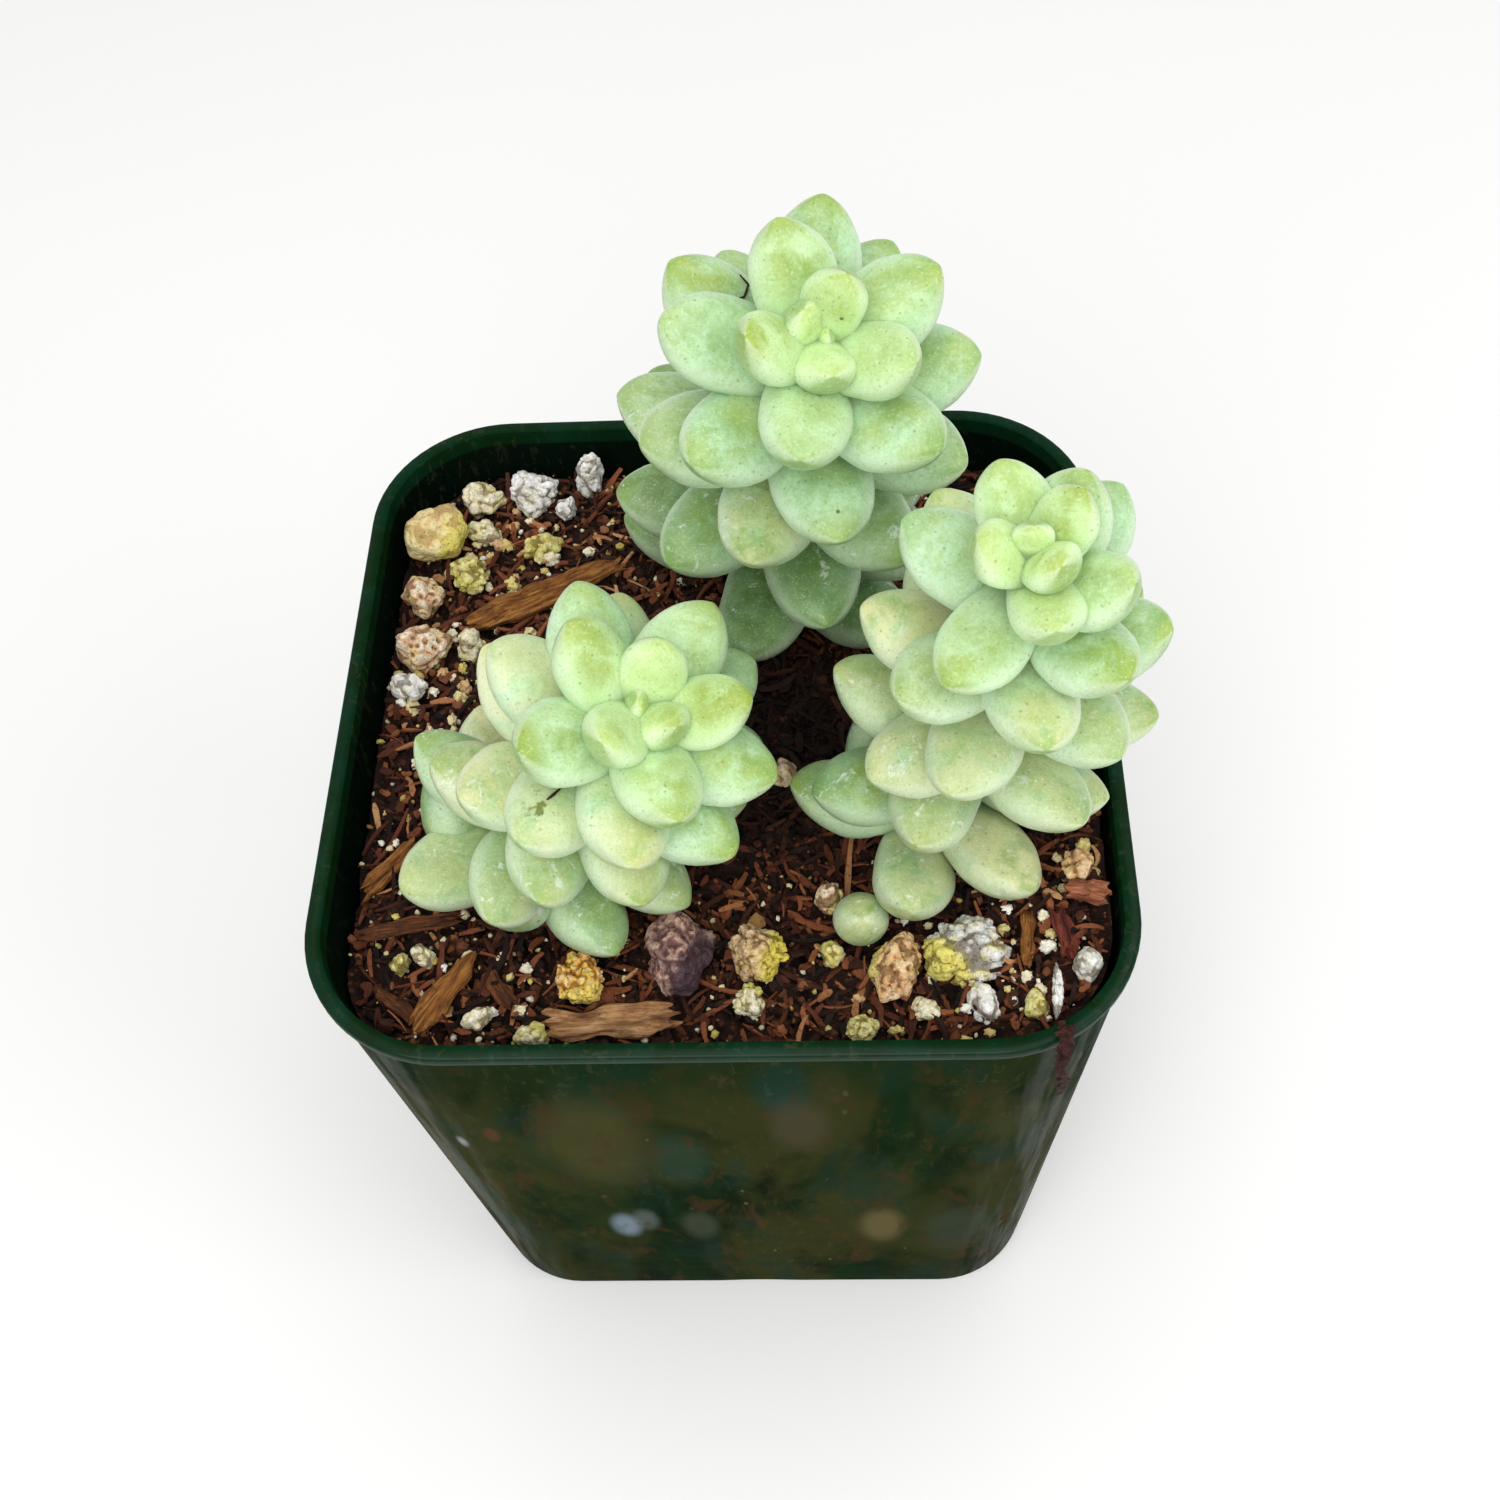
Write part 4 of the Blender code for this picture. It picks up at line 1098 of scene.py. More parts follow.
@dataclass
class NurseryPot:
    """The thin square pot: fine rounded walls, a beaded rim, foot arches and drainage holes."""

    form: PotForm = POT
    corner_steps: int = 16
    side_steps: int = 12
    wall_steps: int = 10
    arch_width: float = 12.0
    arch_rise: float = 0.9
    arch_depth: float = 6.0
    arch_sides: int = 160
    drain_radius: float = 1.9
    drain_inset: float = 3.4
    drain_sides: int = 36
    inner_fillet: float = 1.2
    corner_blend: float = 0.5
    round_steps: int = 4
    bead_steps: tuple[Pair, ...] = ((0.22, 0.02), (0.05, 0.14), (0.0, 0.36))
    bead_gap: float = 0.1
    lip_steps: tuple[Pair, ...] = ((0.2, 0.0), (0.05, 0.07), (0.0, 0.25))
    crisp_angle: float = 40.0

    def profile(self) -> list[Triple]:
        """Return half width, corner radius and height from the underside, up the outside and down inside."""
        form = self.form
        quarter = [math.pi / 2 * step / self.round_steps for step in range(self.round_steps + 1)]
        climb = [step / self.wall_steps for step in range(1, self.wall_steps + 1)]
        levels = []
        for angle in quarter:
            inset = form.base_round * (1 - math.sin(angle))
            rise = form.base_round * (1 - math.cos(angle))
            levels.append((form.base_half - inset, form.base_corner - inset, rise))
        bead_low = form.height - form.bead_height
        for share in climb:
            height = form.base_round + (bead_low - self.bead_gap - form.base_round) * share
            levels.append((form.half(height), form.corner(height), height))
        for inset, rise in self.bead_steps:
            levels.append((form.rim_half - inset, form.rim_corner - inset, bead_low + rise))
        for angle in quarter:
            inset = form.edge_round * (1 - math.cos(angle))
            drop = form.edge_round * (1 - math.sin(angle))
            levels.append((form.rim_half - inset, form.rim_corner - inset, form.height - drop))
        inner = form.half(form.height) - form.wall
        corner = form.corner(form.height) - form.wall
        for out, drop in self.lip_steps:
            levels.append((inner + out, corner + out, form.height - drop))
        high = form.height - self.lip_steps[-1][1]
        for share in climb:
            height = high - (high - form.base_plate - self.inner_fillet) * share
            levels.append((form.half(height) - form.wall, form.corner(height) - form.wall, height))
        inset = form.wall + self.inner_fillet
        levels.append((form.half(form.base_plate) - inset, form.corner(form.base_plate) - inset,
                       form.base_plate))
        return levels

    def build(self, finish: Finish) -> Piece:
        """Return the finished pot."""
        builder = bmesh.new()
        rings = []
        for half, corner, height in self.profile():
            outline = self.form.outline(half, corner, self.corner_steps, self.side_steps)
            rings.append(np.column_stack((outline, np.full(len(outline), height))))
        sweep(builder, rings)
        pot = finish_mesh("pot_shell", builder, finish, self.crisp_angle)
        cut(pot, self._cutters())
        mesh = pot.data
        places = np.empty(len(mesh.vertices) * 3, np.float32)
        mesh.vertices.foreach_get("co", places)
        places = places.reshape(-1, 3) / MM
        half = np.array([self.form.half(height) for height in places[:, 2]])
        corner = np.array([self.form.corner(height) for height in places[:, 2]])
        reach = np.hypot(*(np.maximum(np.abs(places[:, :2]) - (half - corner)[:, None], 0)).T)
        store(mesh, "pot_outside", np.where(reach > corner - self.form.wall / 2, 1.0, 0.0))
        inward = np.min(np.abs(places[:, :2]), axis=1) - (half - corner)
        store(mesh, "pot_corner", smooth_step(inward / (corner * self.corner_blend)))
        mesh.shade_smooth()
        mesh.set_sharp_from_angle(angle=math.radians(self.crisp_angle))
        seat_piece(pot, "pot", "pot")
        return pot

    def _cutters(self) -> list[Piece]:
        """Return the bodies that cut the foot arches and the drainage holes."""
        form = self.form
        radius = (self.arch_width ** 2 / 4 + self.arch_rise ** 2) / (2 * self.arch_rise)
        cutters = []
        for side in range(4):
            turn = side * math.pi / 2
            outward = np.array((math.cos(turn), math.sin(turn)))
            for name, sides, size, depth, reach, height, tilt in (
                    ("arch", self.arch_sides, radius, 2 * self.arch_depth, form.base_half,
                     self.arch_rise - radius, math.pi / 2),
                    ("drain", self.drain_sides, self.drain_radius, 2 * form.base_plate,
                     form.base_half - self.drain_inset, form.base_plate, 0.0)):
                builder = bmesh.new()
                bmesh.ops.create_cone(builder, cap_ends=True, segments=sides, radius1=size * MM,
                                      radius2=size * MM, depth=depth * MM)
                mesh = bpy.data.meshes.new(name)
                builder.to_mesh(mesh)
                builder.free()
                tool = add_object(name, mesh)
                tool.location = (*(outward * reach * MM), height * MM)
                tool.rotation_euler = (0, tilt, turn)
                cutters.append(tool)
        return cutters


# The potting mix


@dataclass(frozen=True)
class Lump:
    """A stone bedded in the mix, with its look.

    Knobs have a size and stand out by the relief; facets is how far flat faces cut into the roundness, pits
    is the depth of holes, and stain is the way that the stained side faces.
    """

    name: str
    place: Triple
    size: Triple
    turns: Triple = (0, 0, 0)
    kind: str = "CREAM"
    knob: float = 0.9
    relief: float = 0.30
    facets: float = 0.0
    pits: float = 0.10
    stain: Triple = (0, 0, -1)


class StoneKind(Enum):
    """The stones' finishes."""

    LEMON = StonePaint("pumice_lemon", paint(228, 204, 148), paint(226, 214, 104), paint(240, 230, 176),
                       pit=paint(176, 140, 84))
    ROSE = StonePaint("pumice_rose", paint(222, 178, 140), paint(236, 214, 140), paint(248, 238, 216))
    AMBER = StonePaint("pumice_amber", paint(224, 158, 58), paint(236, 212, 104), paint(248, 220, 166))
    BUFF = StonePaint("pumice_buff", paint(206, 168, 122), paint(218, 200, 74), paint(230, 200, 164))
    SAND = StonePaint("pumice_sand", paint(222, 174, 120), paint(218, 204, 114), paint(238, 208, 168))
    ASH = StonePaint("pumice_ash", paint(214, 212, 206), paint(230, 216, 92), paint(244, 243, 246))
    CREAM = StonePaint("perlite_cream", paint(230, 218, 176), paint(212, 202, 104), paint(248, 243, 222),
                       pit_share=0.3)
    CHALK = StonePaint("perlite_chalk", paint(236, 232, 224), paint(218, 214, 180), paint(252, 252, 254),
                       pit_share=0.2)
    STRAW = StonePaint("perlite_straw", paint(206, 192, 104), paint(188, 184, 66), paint(238, 232, 172),
                       pit_share=0.4)
    LAVA = StonePaint("lava_crust", paint(176, 132, 118), paint(48, 34, 54), paint(232, 196, 176),
                      pit=paint(66, 44, 46), pit_share=0.5, grain=3.0, depth=0.26)


LUMPS = (
    Lump("pumice_round", (-26.9, 21.2, 63.4), (5.4, 5.6, 4.8), (10, 0, 20), "LEMON", 1.5, 0.12, 0.4, 0.1,
         (0.7, -0.6, 0.0)),
    Lump("pumice_beige", (-27.4, 14.6, 62.9), (4.0, 3.6, 3.4), (0, 15, 40), "ROSE", 1.0, 0.2, 0.6, 0.35),
    Lump("pumice_left", (-26.9, 9.1, 62.9), (5.0, 4.2, 3.6), (0, -10, 10), "ROSE", 1.2, 0.25, 0.5, 0.4),
    Lump("pumice_orange", (-10.9, -23.6, 62.8), (4.2, 3.4, 3.4), (0, 0, 15), "AMBER", 0.7, 0.42, 0.2, 0.15,
         (0.0, -1.0, -0.2)),
    Lump("pumice_ball", (2.7, -21.1, 62.9), (4.3, 4.3, 4.0), (0, 0, 30), "BUFF", 0.75, 0.34, 0.3, 0.12,
         (0.6, -0.7, 0.0)),
    Lump("pumice_tall", (13.3, -22.9, 63.0), (3.6, 5.0, 4.4), (0, -12, -22), "SAND", 1.1, 0.22, 0.7, 0.5,
         (-0.9, -0.2, 0.0)),
    Lump("pumice_big", (18.7, -21.8, 63.6), (6.0, 4.9, 4.4), (0, 8, 12), "ASH", 1.1, 0.5, 0.6, 0.1,
         (-0.9, -0.5, 0.0)),
    Lump("perlite_01", (-23.2, 26.0, 63.0), (4.0, 3.8, 3.6), (0, 0, 0), "CREAM", 1.1, 0.4, 0.4),
    Lump("perlite_02", (-18.7, 26.6, 63.0), (3.8, 3.8, 3.6), (0, 0, 50), "CHALK", 0.9, 0.45, 0.5),
    Lump("perlite_03", (-22.6, 22.3, 62.5), (2.9, 2.2, 2.2), (0, 0, -20), "CREAM", 0.8, 0.3, 0.5),
    Lump("perlite_04", (-23.6, 17.3, 62.6), (3.2, 4.2, 2.6), (0, 0, 30), "STRAW", 0.8, 0.35, 0.4),
    Lump("perlite_05", (-17.3, 20.5, 62.5), (3.6, 2.6, 2.4), (0, 0, 20), "STRAW", 0.9, 0.3, 0.5),
    Lump("perlite_06", (-27.7, 4.8, 62.7), (3.8, 2.4, 2.4), (0, 0, -20), "CHALK", 1.0, 0.25, 0.6),
    Lump("perlite_07", (-22.8, 9.8, 62.5), (2.8, 2.8, 2.2), (0, 0, 0), "CREAM", 0.9, 0.3, 0.5),
    Lump("perlite_08", (-13.3, 28.2, 63.8), (3.0, 2.8, 4.2), (8, 0, 0), "CHALK", 1.1, 0.3, 0.7),
    Lump("perlite_09", (-15.4, 24.6, 62.9), (1.7, 1.7, 2.8), (0, 12, 0), "CHALK", 0.7, 0.2, 0.6),
    Lump("perlite_10", (2.0, -25.5, 62.6), (2.2, 2.8, 2.2), (0, 0, 15), "CREAM", 0.7, 0.3, 0.3, 0.1,
         (0.6, 0.7, 0.0)),
    Lump("perlite_11", (20.0, -26.2, 63.6), (2.4, 3.6, 2.4), (0, 0, 20), "CHALK", 1.3, 0.4, 0.2, 0.05),
    Lump("perlite_12", (27.8, -24.2, 65.6), (2.4, 2.4, 2.8), (0, 0, 0), "CHALK", 0.8, 0.10, 0.2, 0.12),
    Lump("perlite_13", (-14.5, -28.2, 62.7), (2.3, 2.2, 2.4), (0, 0, 0), "CREAM", 0.9, 0.15, 0.3, 0.10,
         (0.7, 0.6, 0.3)),
    Lump("perlite_14", (-18.7, -26.8, 62.5), (2.2, 1.7, 1.7), (0, 0, 30), "CREAM", 0.9, 0.08, 0.2, 0.05),
    Lump("perlite_15", (-25.4, -22.0, 62.7), (1.6, 1.6, 3.0), (20, 10, 0), "STRAW", 0.9, 0.15, 0.7),
    Lump("perlite_16", (-23.3, -21.5, 62.9), (1.6, 1.6, 3.4), (20, -8, 0), "CREAM", 0.9, 0.15, 0.8),
    Lump("perlite_17", (10.9, -27.7, 62.4), (3.2, 2.2, 1.8), (0, 0, 15), "STRAW", 0.6, 0.3, 0.3),
    Lump("perlite_18", (15.6, -26.4, 62.5), (2.4, 1.7, 1.7), (0, 0, -20), "CREAM", 0.7, 0.25, 0.5),
    Lump("perlite_19", (8.3, -16.6, 62.5), (2.3, 2.5, 2.2), (0, 0, 0), "ROSE", 0.8, 0.25, 0.5, 0.1,
         (0.7, -0.5, 0.0)),
    Lump("perlite_20", (28.0, -15.4, 65.0), (3.0, 3.2, 2.6), (0, 0, 0), "SAND", 1.0, 0.3, 0.5, 0.2),
    Lump("perlite_21", (4.9, -4.5, 62.4), (2.2, 2.6, 2.0), (0, 0, 25), "ROSE", 0.9, 0.2, 0.5),
    Lump("perlite_22", (8.6, -21.3, 62.4), (1.6, 2.4, 1.8), (0, 0, 15), "STRAW", 0.9, 0.12, 0.4),
    Lump("perlite_23", (23.8, -26.8, 64.5), (2.0, 2.2, 2.0), (0, 0, 15), "STRAW", 0.9, 0.15, 0.4),
    Lump("lava_rock", (-3.2, -21.4, 63.4), (5.4, 7.4, 5.6), (14, -24, -18), "LAVA", 0.55, 0.12, 0.9, 0.30,
         (0.9, -0.5, -0.3)),
)
HUSK = Lump("husk_pale", (25.4, -26.2, 65.6), (0.75, 4.6, 0.8), (6, 0, -4), "CHALK", 0.6, 0.03, 0.0, 0.0)


@dataclass(frozen=True)
class Slab:
    """A chip of bark bedded in the mix, long in X before its turns, with its finish."""

    name: str
    place: Triple
    size: Triple
    turns: Triple
    kind: str = "GOLD"


class BarkKind(Enum):
    """The barks' finishes."""

    GOLD = BarkPaint("bark_gold", paint(190, 138, 70), paint(138, 84, 34), paint(52, 26, 10), 0.55)
    BROWN = BarkPaint("bark_brown", paint(150, 94, 48), paint(98, 54, 26), paint(38, 18, 9), 0.6)
    WEATHERED = BarkPaint("bark_weathered", paint(212, 176, 128), paint(176, 128, 84), paint(92, 54, 32),
                          0.42)
    RED = BarkPaint("bark_red", paint(156, 80, 62), paint(110, 44, 34), paint(46, 16, 12), 0.5)
    PINK = BarkPaint("bark_pink", paint(208, 150, 116), paint(166, 98, 68), paint(76, 38, 24), 0.45)
    RUSSET = BarkPaint("bark_russet", paint(92, 46, 36), paint(54, 24, 19), paint(22, 8, 7), 0.6)


SLABS = (
    Slab("bark_long", (-16.6, 14.9, 62.8), (14.4, 2.8, 1.4), (20, -4, 24), "GOLD"),
    Slab("bark_front", (-8.5, -27.0, 62.6), (9.8, 2.9, 1.2), (22, 0, 4), "WEATHERED"),
    Slab("bark_slant", (-21.6, -24.4, 62.8), (7.4, 2.4, 1.0), (12, 6, 62), "GOLD"),
    Slab("bark_left", (-27.2, -13.0, 62.6), (5.8, 2.1, 1.0), (14, 0, 50), "GOLD"),
    Slab("bark_flat", (-25.0, -18.4, 62.4), (8.0, 1.9, 0.9), (-10, 0, 10), "BROWN"),
    Slab("bark_corner", (-25.3, -25.2, 62.2), (3.6, 1.5, 0.8), (0, 0, -38), "BROWN"),
    Slab("bark_stub", (-17.2, -24.1, 62.4), (3.6, 1.8, 1.0), (10, 0, -52), "BROWN"),
    Slab("bark_red", (26.3, -21.2, 65.2), (4.2, 1.9, 1.0), (0, 8, 98), "RED"),
    Slab("bark_pink", (28.3, -18.1, 65.8), (3.3, 2.2, 1.2), (0, -10, -14), "PINK"),
    Slab("bark_tan", (23.6, -21.2, 64.6), (4.8, 1.6, 0.9), (0, 10, 84), "GOLD"),
)


@dataclass(frozen=True)
class StoneCarver:
    """Carves the stones: the solids' rounded lumps, finely meshed, with flats, knobs, pores and grit."""

    large: float = 4.1
    large_cuts: int = 6
    small_cuts: int = 5
    waves: int = 6
    wave_swell: Pair = (0.04, 0.09)
    wave_count: Pair = (1.5, 4)
    planes: int = 11
    plane_depth: Pair = (0.60, 0.92)
    regrowth: float = 0.8
    knob_bend: float = 0.45
    knob_reach: float = 0.62
    small_knob: float = 0.4
    small_knob_share: float = 0.3
    crease: float = 0.7
    unevenness: float = 0.22
    pit_spacing: float = 0.85
    pit_reach: float = 0.42
    deep_pits: float = 0.15
    grit_depth: float = 0.035
    warp_seed: int = 5

    def __post_init__(self) -> None:
        """Fix the offsets of noise_vector, which otherwise come from the clock."""
        noise.seed_set(self.warp_seed)

    def build(self, lump: Lump, finish: Finish, stands_for_node: bool = True) -> Piece:
        """Return one carved stone in its place.

        Args:
            lump: The stone's form.
            finish: Its material.
            stands_for_node: Whether it takes the place of the solid of its name.

        Returns:
            The stone.
        """
        draw = random.Random(lump.name)
        waves = [(draw.uniform(*self.wave_swell), draw.uniform(*self.wave_count), draw.uniform(0, math.tau),
                  draw.randrange(3)) for _ in range(self.waves)]
        shift = noise_corner(draw)
        flats = [(Vector((draw.gauss(0, 1), draw.gauss(0, 1), draw.gauss(0, 1))).normalized(),
                  draw.uniform(*self.plane_depth)) for _ in range(self.planes)]
        builder = bmesh.new()
        cuts = self.large_cuts if max(lump.size) > self.large else self.small_cuts
        bmesh.ops.create_icosphere(builder, subdivisions=cuts, radius=1)
        keep = {vert: min([1.0] + [depth / vert.co.dot(flat) for flat, depth in flats
                                   if vert.co.dot(flat) > depth]) for vert in builder.verts}
        loss = lump.facets * (1 - sum(keep.values()) / len(keep))
        turn = Euler([math.radians(angle) for angle in lump.turns]).to_matrix()
        radii = Vector(lump.size) / 2
        faces_stain = Vector(lump.stain).normalized()
        marks = []
        for vert in builder.verts:
            way = vert.co.normalized()
            swell = 1 + sum(size * math.sin(count * way[axis] + start) for size, count, start, axis in waves)
            swell *= 1 - lump.facets * (1 - keep[vert]) + loss * self.regrowth
            spot = Vector(a * b for a, b in zip(way, radii)) * swell
            here = spot + shift
            bent = here + noise.noise_vector(here * 0.9 / lump.knob) * self.knob_bend * lump.knob
            dome = self._dome(bent / lump.knob)
            uneven = max(0.2, 0.8 + 1.3 * noise.noise(here * 0.7))
            hole = max(0.0, 1 - noise.voronoi(here / self.pit_spacing)[0][0] / self.pit_reach)
            grit = octaves(here, (1.0, 4.5), (0.6, 9.0)) * self.grit_depth
            small_dome = self._dome(here / (lump.knob * self.small_knob))
            out = lump.relief * uneven * (dome - self.crease + self.small_knob_share * small_dome)
            out += self.unevenness * min(radii) * noise.noise(here * 1.6 / min(radii)) + grit
            out -= lump.pits * smooth_step(hole * 1.6)
            # Painted shade: deep pits lose their knob mark, so that they darken to the pit colour as creases
            # do.
            dark = min(1.0, hole * 2.5) * (lump.pits > self.deep_pits)
            marks.append((dome * (1 - dark), way.dot(faces_stain)))
            vert.co = (turn @ (spot + way * out) + Vector(lump.place)) * MM
        stone = finish_mesh(lump.name + "_crust", builder, finish, 70)
        for name, values in zip(("knob", "stain"), np.array(marks).T):
            store(stone.data, name, values)
        slot = "lava" if lump.kind == "LAVA" else "pumice" if lump.name.startswith("pumice") else "perlite"
        seat_piece(stone, slot, *([lump.name] if stands_for_node else []))
        return stone

    def _dome(self, place: Vector) -> float:
        """Return how far up a knob a place lies, from 0 in the crease to 1 on the crest."""
        return math.sqrt(max(0.0, 1 - (noise.voronoi(place)[0][0] / self.knob_reach) ** 2))


@dataclass(frozen=True)
class BarkCarver:
    """Carves the bark: the solids' splintery slabs, with fibres, splits and ragged ends."""

    stations: tuple[float, ...] = (-1.0, -0.6, -0.2, 0.2, 0.6, 1.0)
    least_width: float = 0.72
    wander: float = 0.11
    taper_from: tuple[float, ...] = (0.6, 0.93, 1.0)
    taper_to: tuple[float, ...] = (1.0, 0.84, 0.62)
    worn_edge: float = 0.20
    fibre_depth: float = 0.22
    thread_depth: float = 0.10
    chunk_depth: float = 0.30
    skin_depth: float = 0.08
    splinter: float = 1.1
    long_cuts: int = 44
    wide_cuts: int = 11
    thick_cuts: int = 5

    def _blank(self) -> bmesh.types.BMesh:
        """Return a cube with evenly cut sides."""
        builder = bmesh.new()
        bmesh.ops.create_cube(builder, size=2)
        for axis, cuts in enumerate((self.long_cuts, self.wide_cuts, self.thick_cuts)):
            edges = [edge for edge in builder.edges
                     if abs(edge.verts[0].co[axis] - edge.verts[1].co[axis]) > 1]
            bmesh.ops.subdivide_edges(builder, edges=edges, cuts=cuts, use_grid_fill=True)
        return builder

    def build(self, slab: Slab, finish: Finish) -> Piece:
        """Return one carved chip in its place.

        Args:
            slab: The chip's form.
            finish: Its material.

        Returns:
            The chip.
        """
        draw = random.Random(slab.name)
        stray = (-self.wander, self.wander)
        wobble = np.array([(draw.uniform(self.least_width, 1.0), draw.uniform(*stray), draw.uniform(*stray))
                           for _ in self.stations])
        ragged = {(y, z): draw.uniform(*stray) for y in (-1, 1) for z in (-1, 1)}
        shift = noise_corner(draw)
        length, width, thick = (size / 2 for size in slab.size)
        turn = Euler([math.radians(angle) for angle in slab.turns]).to_matrix()
        builder = self._blank()
        grain = []
        for vert in builder.verts:
            x, y, z = vert.co
            full, sideways, upward = (float(np.interp(x, self.stations, wobble[:, column]))
                                      for column in range(3))
            taper = float(np.interp(abs(x), self.taper_from, self.taper_to))
            end = sum(value * (1 + y * corner_y) * (1 + z * corner_z) / 4
                      for (corner_y, corner_z), value in ragged.items())
            soften = 1 - self.worn_edge * abs(y * z) ** 2
            spot = Vector((x * length * (1 + end * abs(x) ** 6),
                           (y * full * taper * soften + sideways) * width,
                           (z * full * soften + upward) * thick))
            fibre = noise.noise(Vector((spot.x * 0.22, spot.y * 2.4, spot.z * 2.4)) + shift)
            thread = noise.noise(Vector((spot.x * 0.5, spot.y * 6.5, spot.z * 6.5)) + shift)
            chunk = noise.noise(spot * 0.55 + shift)
            out = Vector((0, y ** 3, z ** 3))
            spot += out * (self.fibre_depth * fibre + self.thread_depth * thread
                           + self.chunk_depth * chunk * width - self.skin_depth)
            split = noise.noise(Vector((0.0, spot.y * 2.2, spot.z * 2.2)) + shift)
            spot.x += math.copysign(abs(x) ** 5, x) * (self.splinter * split - 0.12) * min(1.0, length * 0.35)
            grain.append(tuple(spot + shift))
            vert.co = (turn @ spot + Vector(slab.place)) * MM
        chip = finish_mesh(slab.name + "_chip", builder, finish, 70)
        store_vectors(chip.data, "grain", np.array(grain))
        seat_piece(chip, "bark", slab.name)
        return chip


class Scatter:
    """Many copies of one small shape in one mesh, each laid with its own points and tone."""

    def __init__(self, template: bmesh.types.BMesh) -> None:
        """Start from the shape to repeat."""
        self.template = bpy.data.meshes.new("template")
        self.shape = np.array([vert.co for vert in template.verts])
        template.to_mesh(self.template)
        template.free()
        self.places: list[np.ndarray] = []
        self.tones: list[float] = []

    def lay(self, points: np.ndarray, tone: float) -> None:
        """Lay one copy at the given points, in millimetres."""
        self.places.append(points)
        self.tones.append(tone)

    def build(self, name: str, finish: Finish) -> Piece:
        """Join all the copies.

        Args:
            name: The new object's name.
            finish: Its material.

        Returns:
            The object, with each copy's tone stored on it.
        """
        builder = bmesh.new()
        for _ in self.places:
            builder.from_mesh(self.template)
        mesh = bpy.data.meshes.new(name)
        builder.to_mesh(mesh)
        builder.free()
        mesh.vertices.foreach_set("co", (np.concatenate(self.places) * MM).astype(np.float32).ravel())
        store(mesh, "tone", np.repeat(self.tones, len(self.shape)))
        mesh.materials.append(finish)
        mesh.shade_smooth()
        mesh.set_sharp_from_angle(angle=math.radians(50))
        mesh.update()
        bpy.data.meshes.remove(self.template)
        return add_object(name, mesh)


class MixKind(Enum):
    """The finishes of the loose mix."""

    DARK = ScatterPaint("mix_dark", (
        (0.0, paint(6, 3, 2)), (1.0, paint(128, 70, 42)), (0.55, paint(48, 23, 13))), paint(8, 4, 2),
        depth=0.4, flecks=0.6)
    FIBRE = ScatterPaint("mix_fibre", (
        (0.0, paint(12, 6, 3)), (1.0, paint(206, 160, 110)), (0.18, paint(52, 25, 14)),
        (0.42, paint(98, 49, 28)), (0.72, paint(146, 86, 52))), paint(34, 15, 8))
    GRAINS = ScatterPaint("mix_grains", (
        (0.0, paint(14, 7, 4)), (1.0, paint(242, 236, 214)), (0.45, paint(72, 38, 23)),
        (0.80, paint(136, 84, 52)), (0.85, paint(196, 180, 90)), (0.93, paint(226, 214, 176))),
        paint(50, 25, 14))
    PALE = ScatterPaint("mix_pale", (
        (0.0, paint(206, 166, 128)), (1.0, paint(250, 248, 244)), (0.25, paint(212, 198, 104)),
        (0.5, paint(222, 206, 158)), (0.75, paint(238, 230, 206))), paint(150, 118, 66))


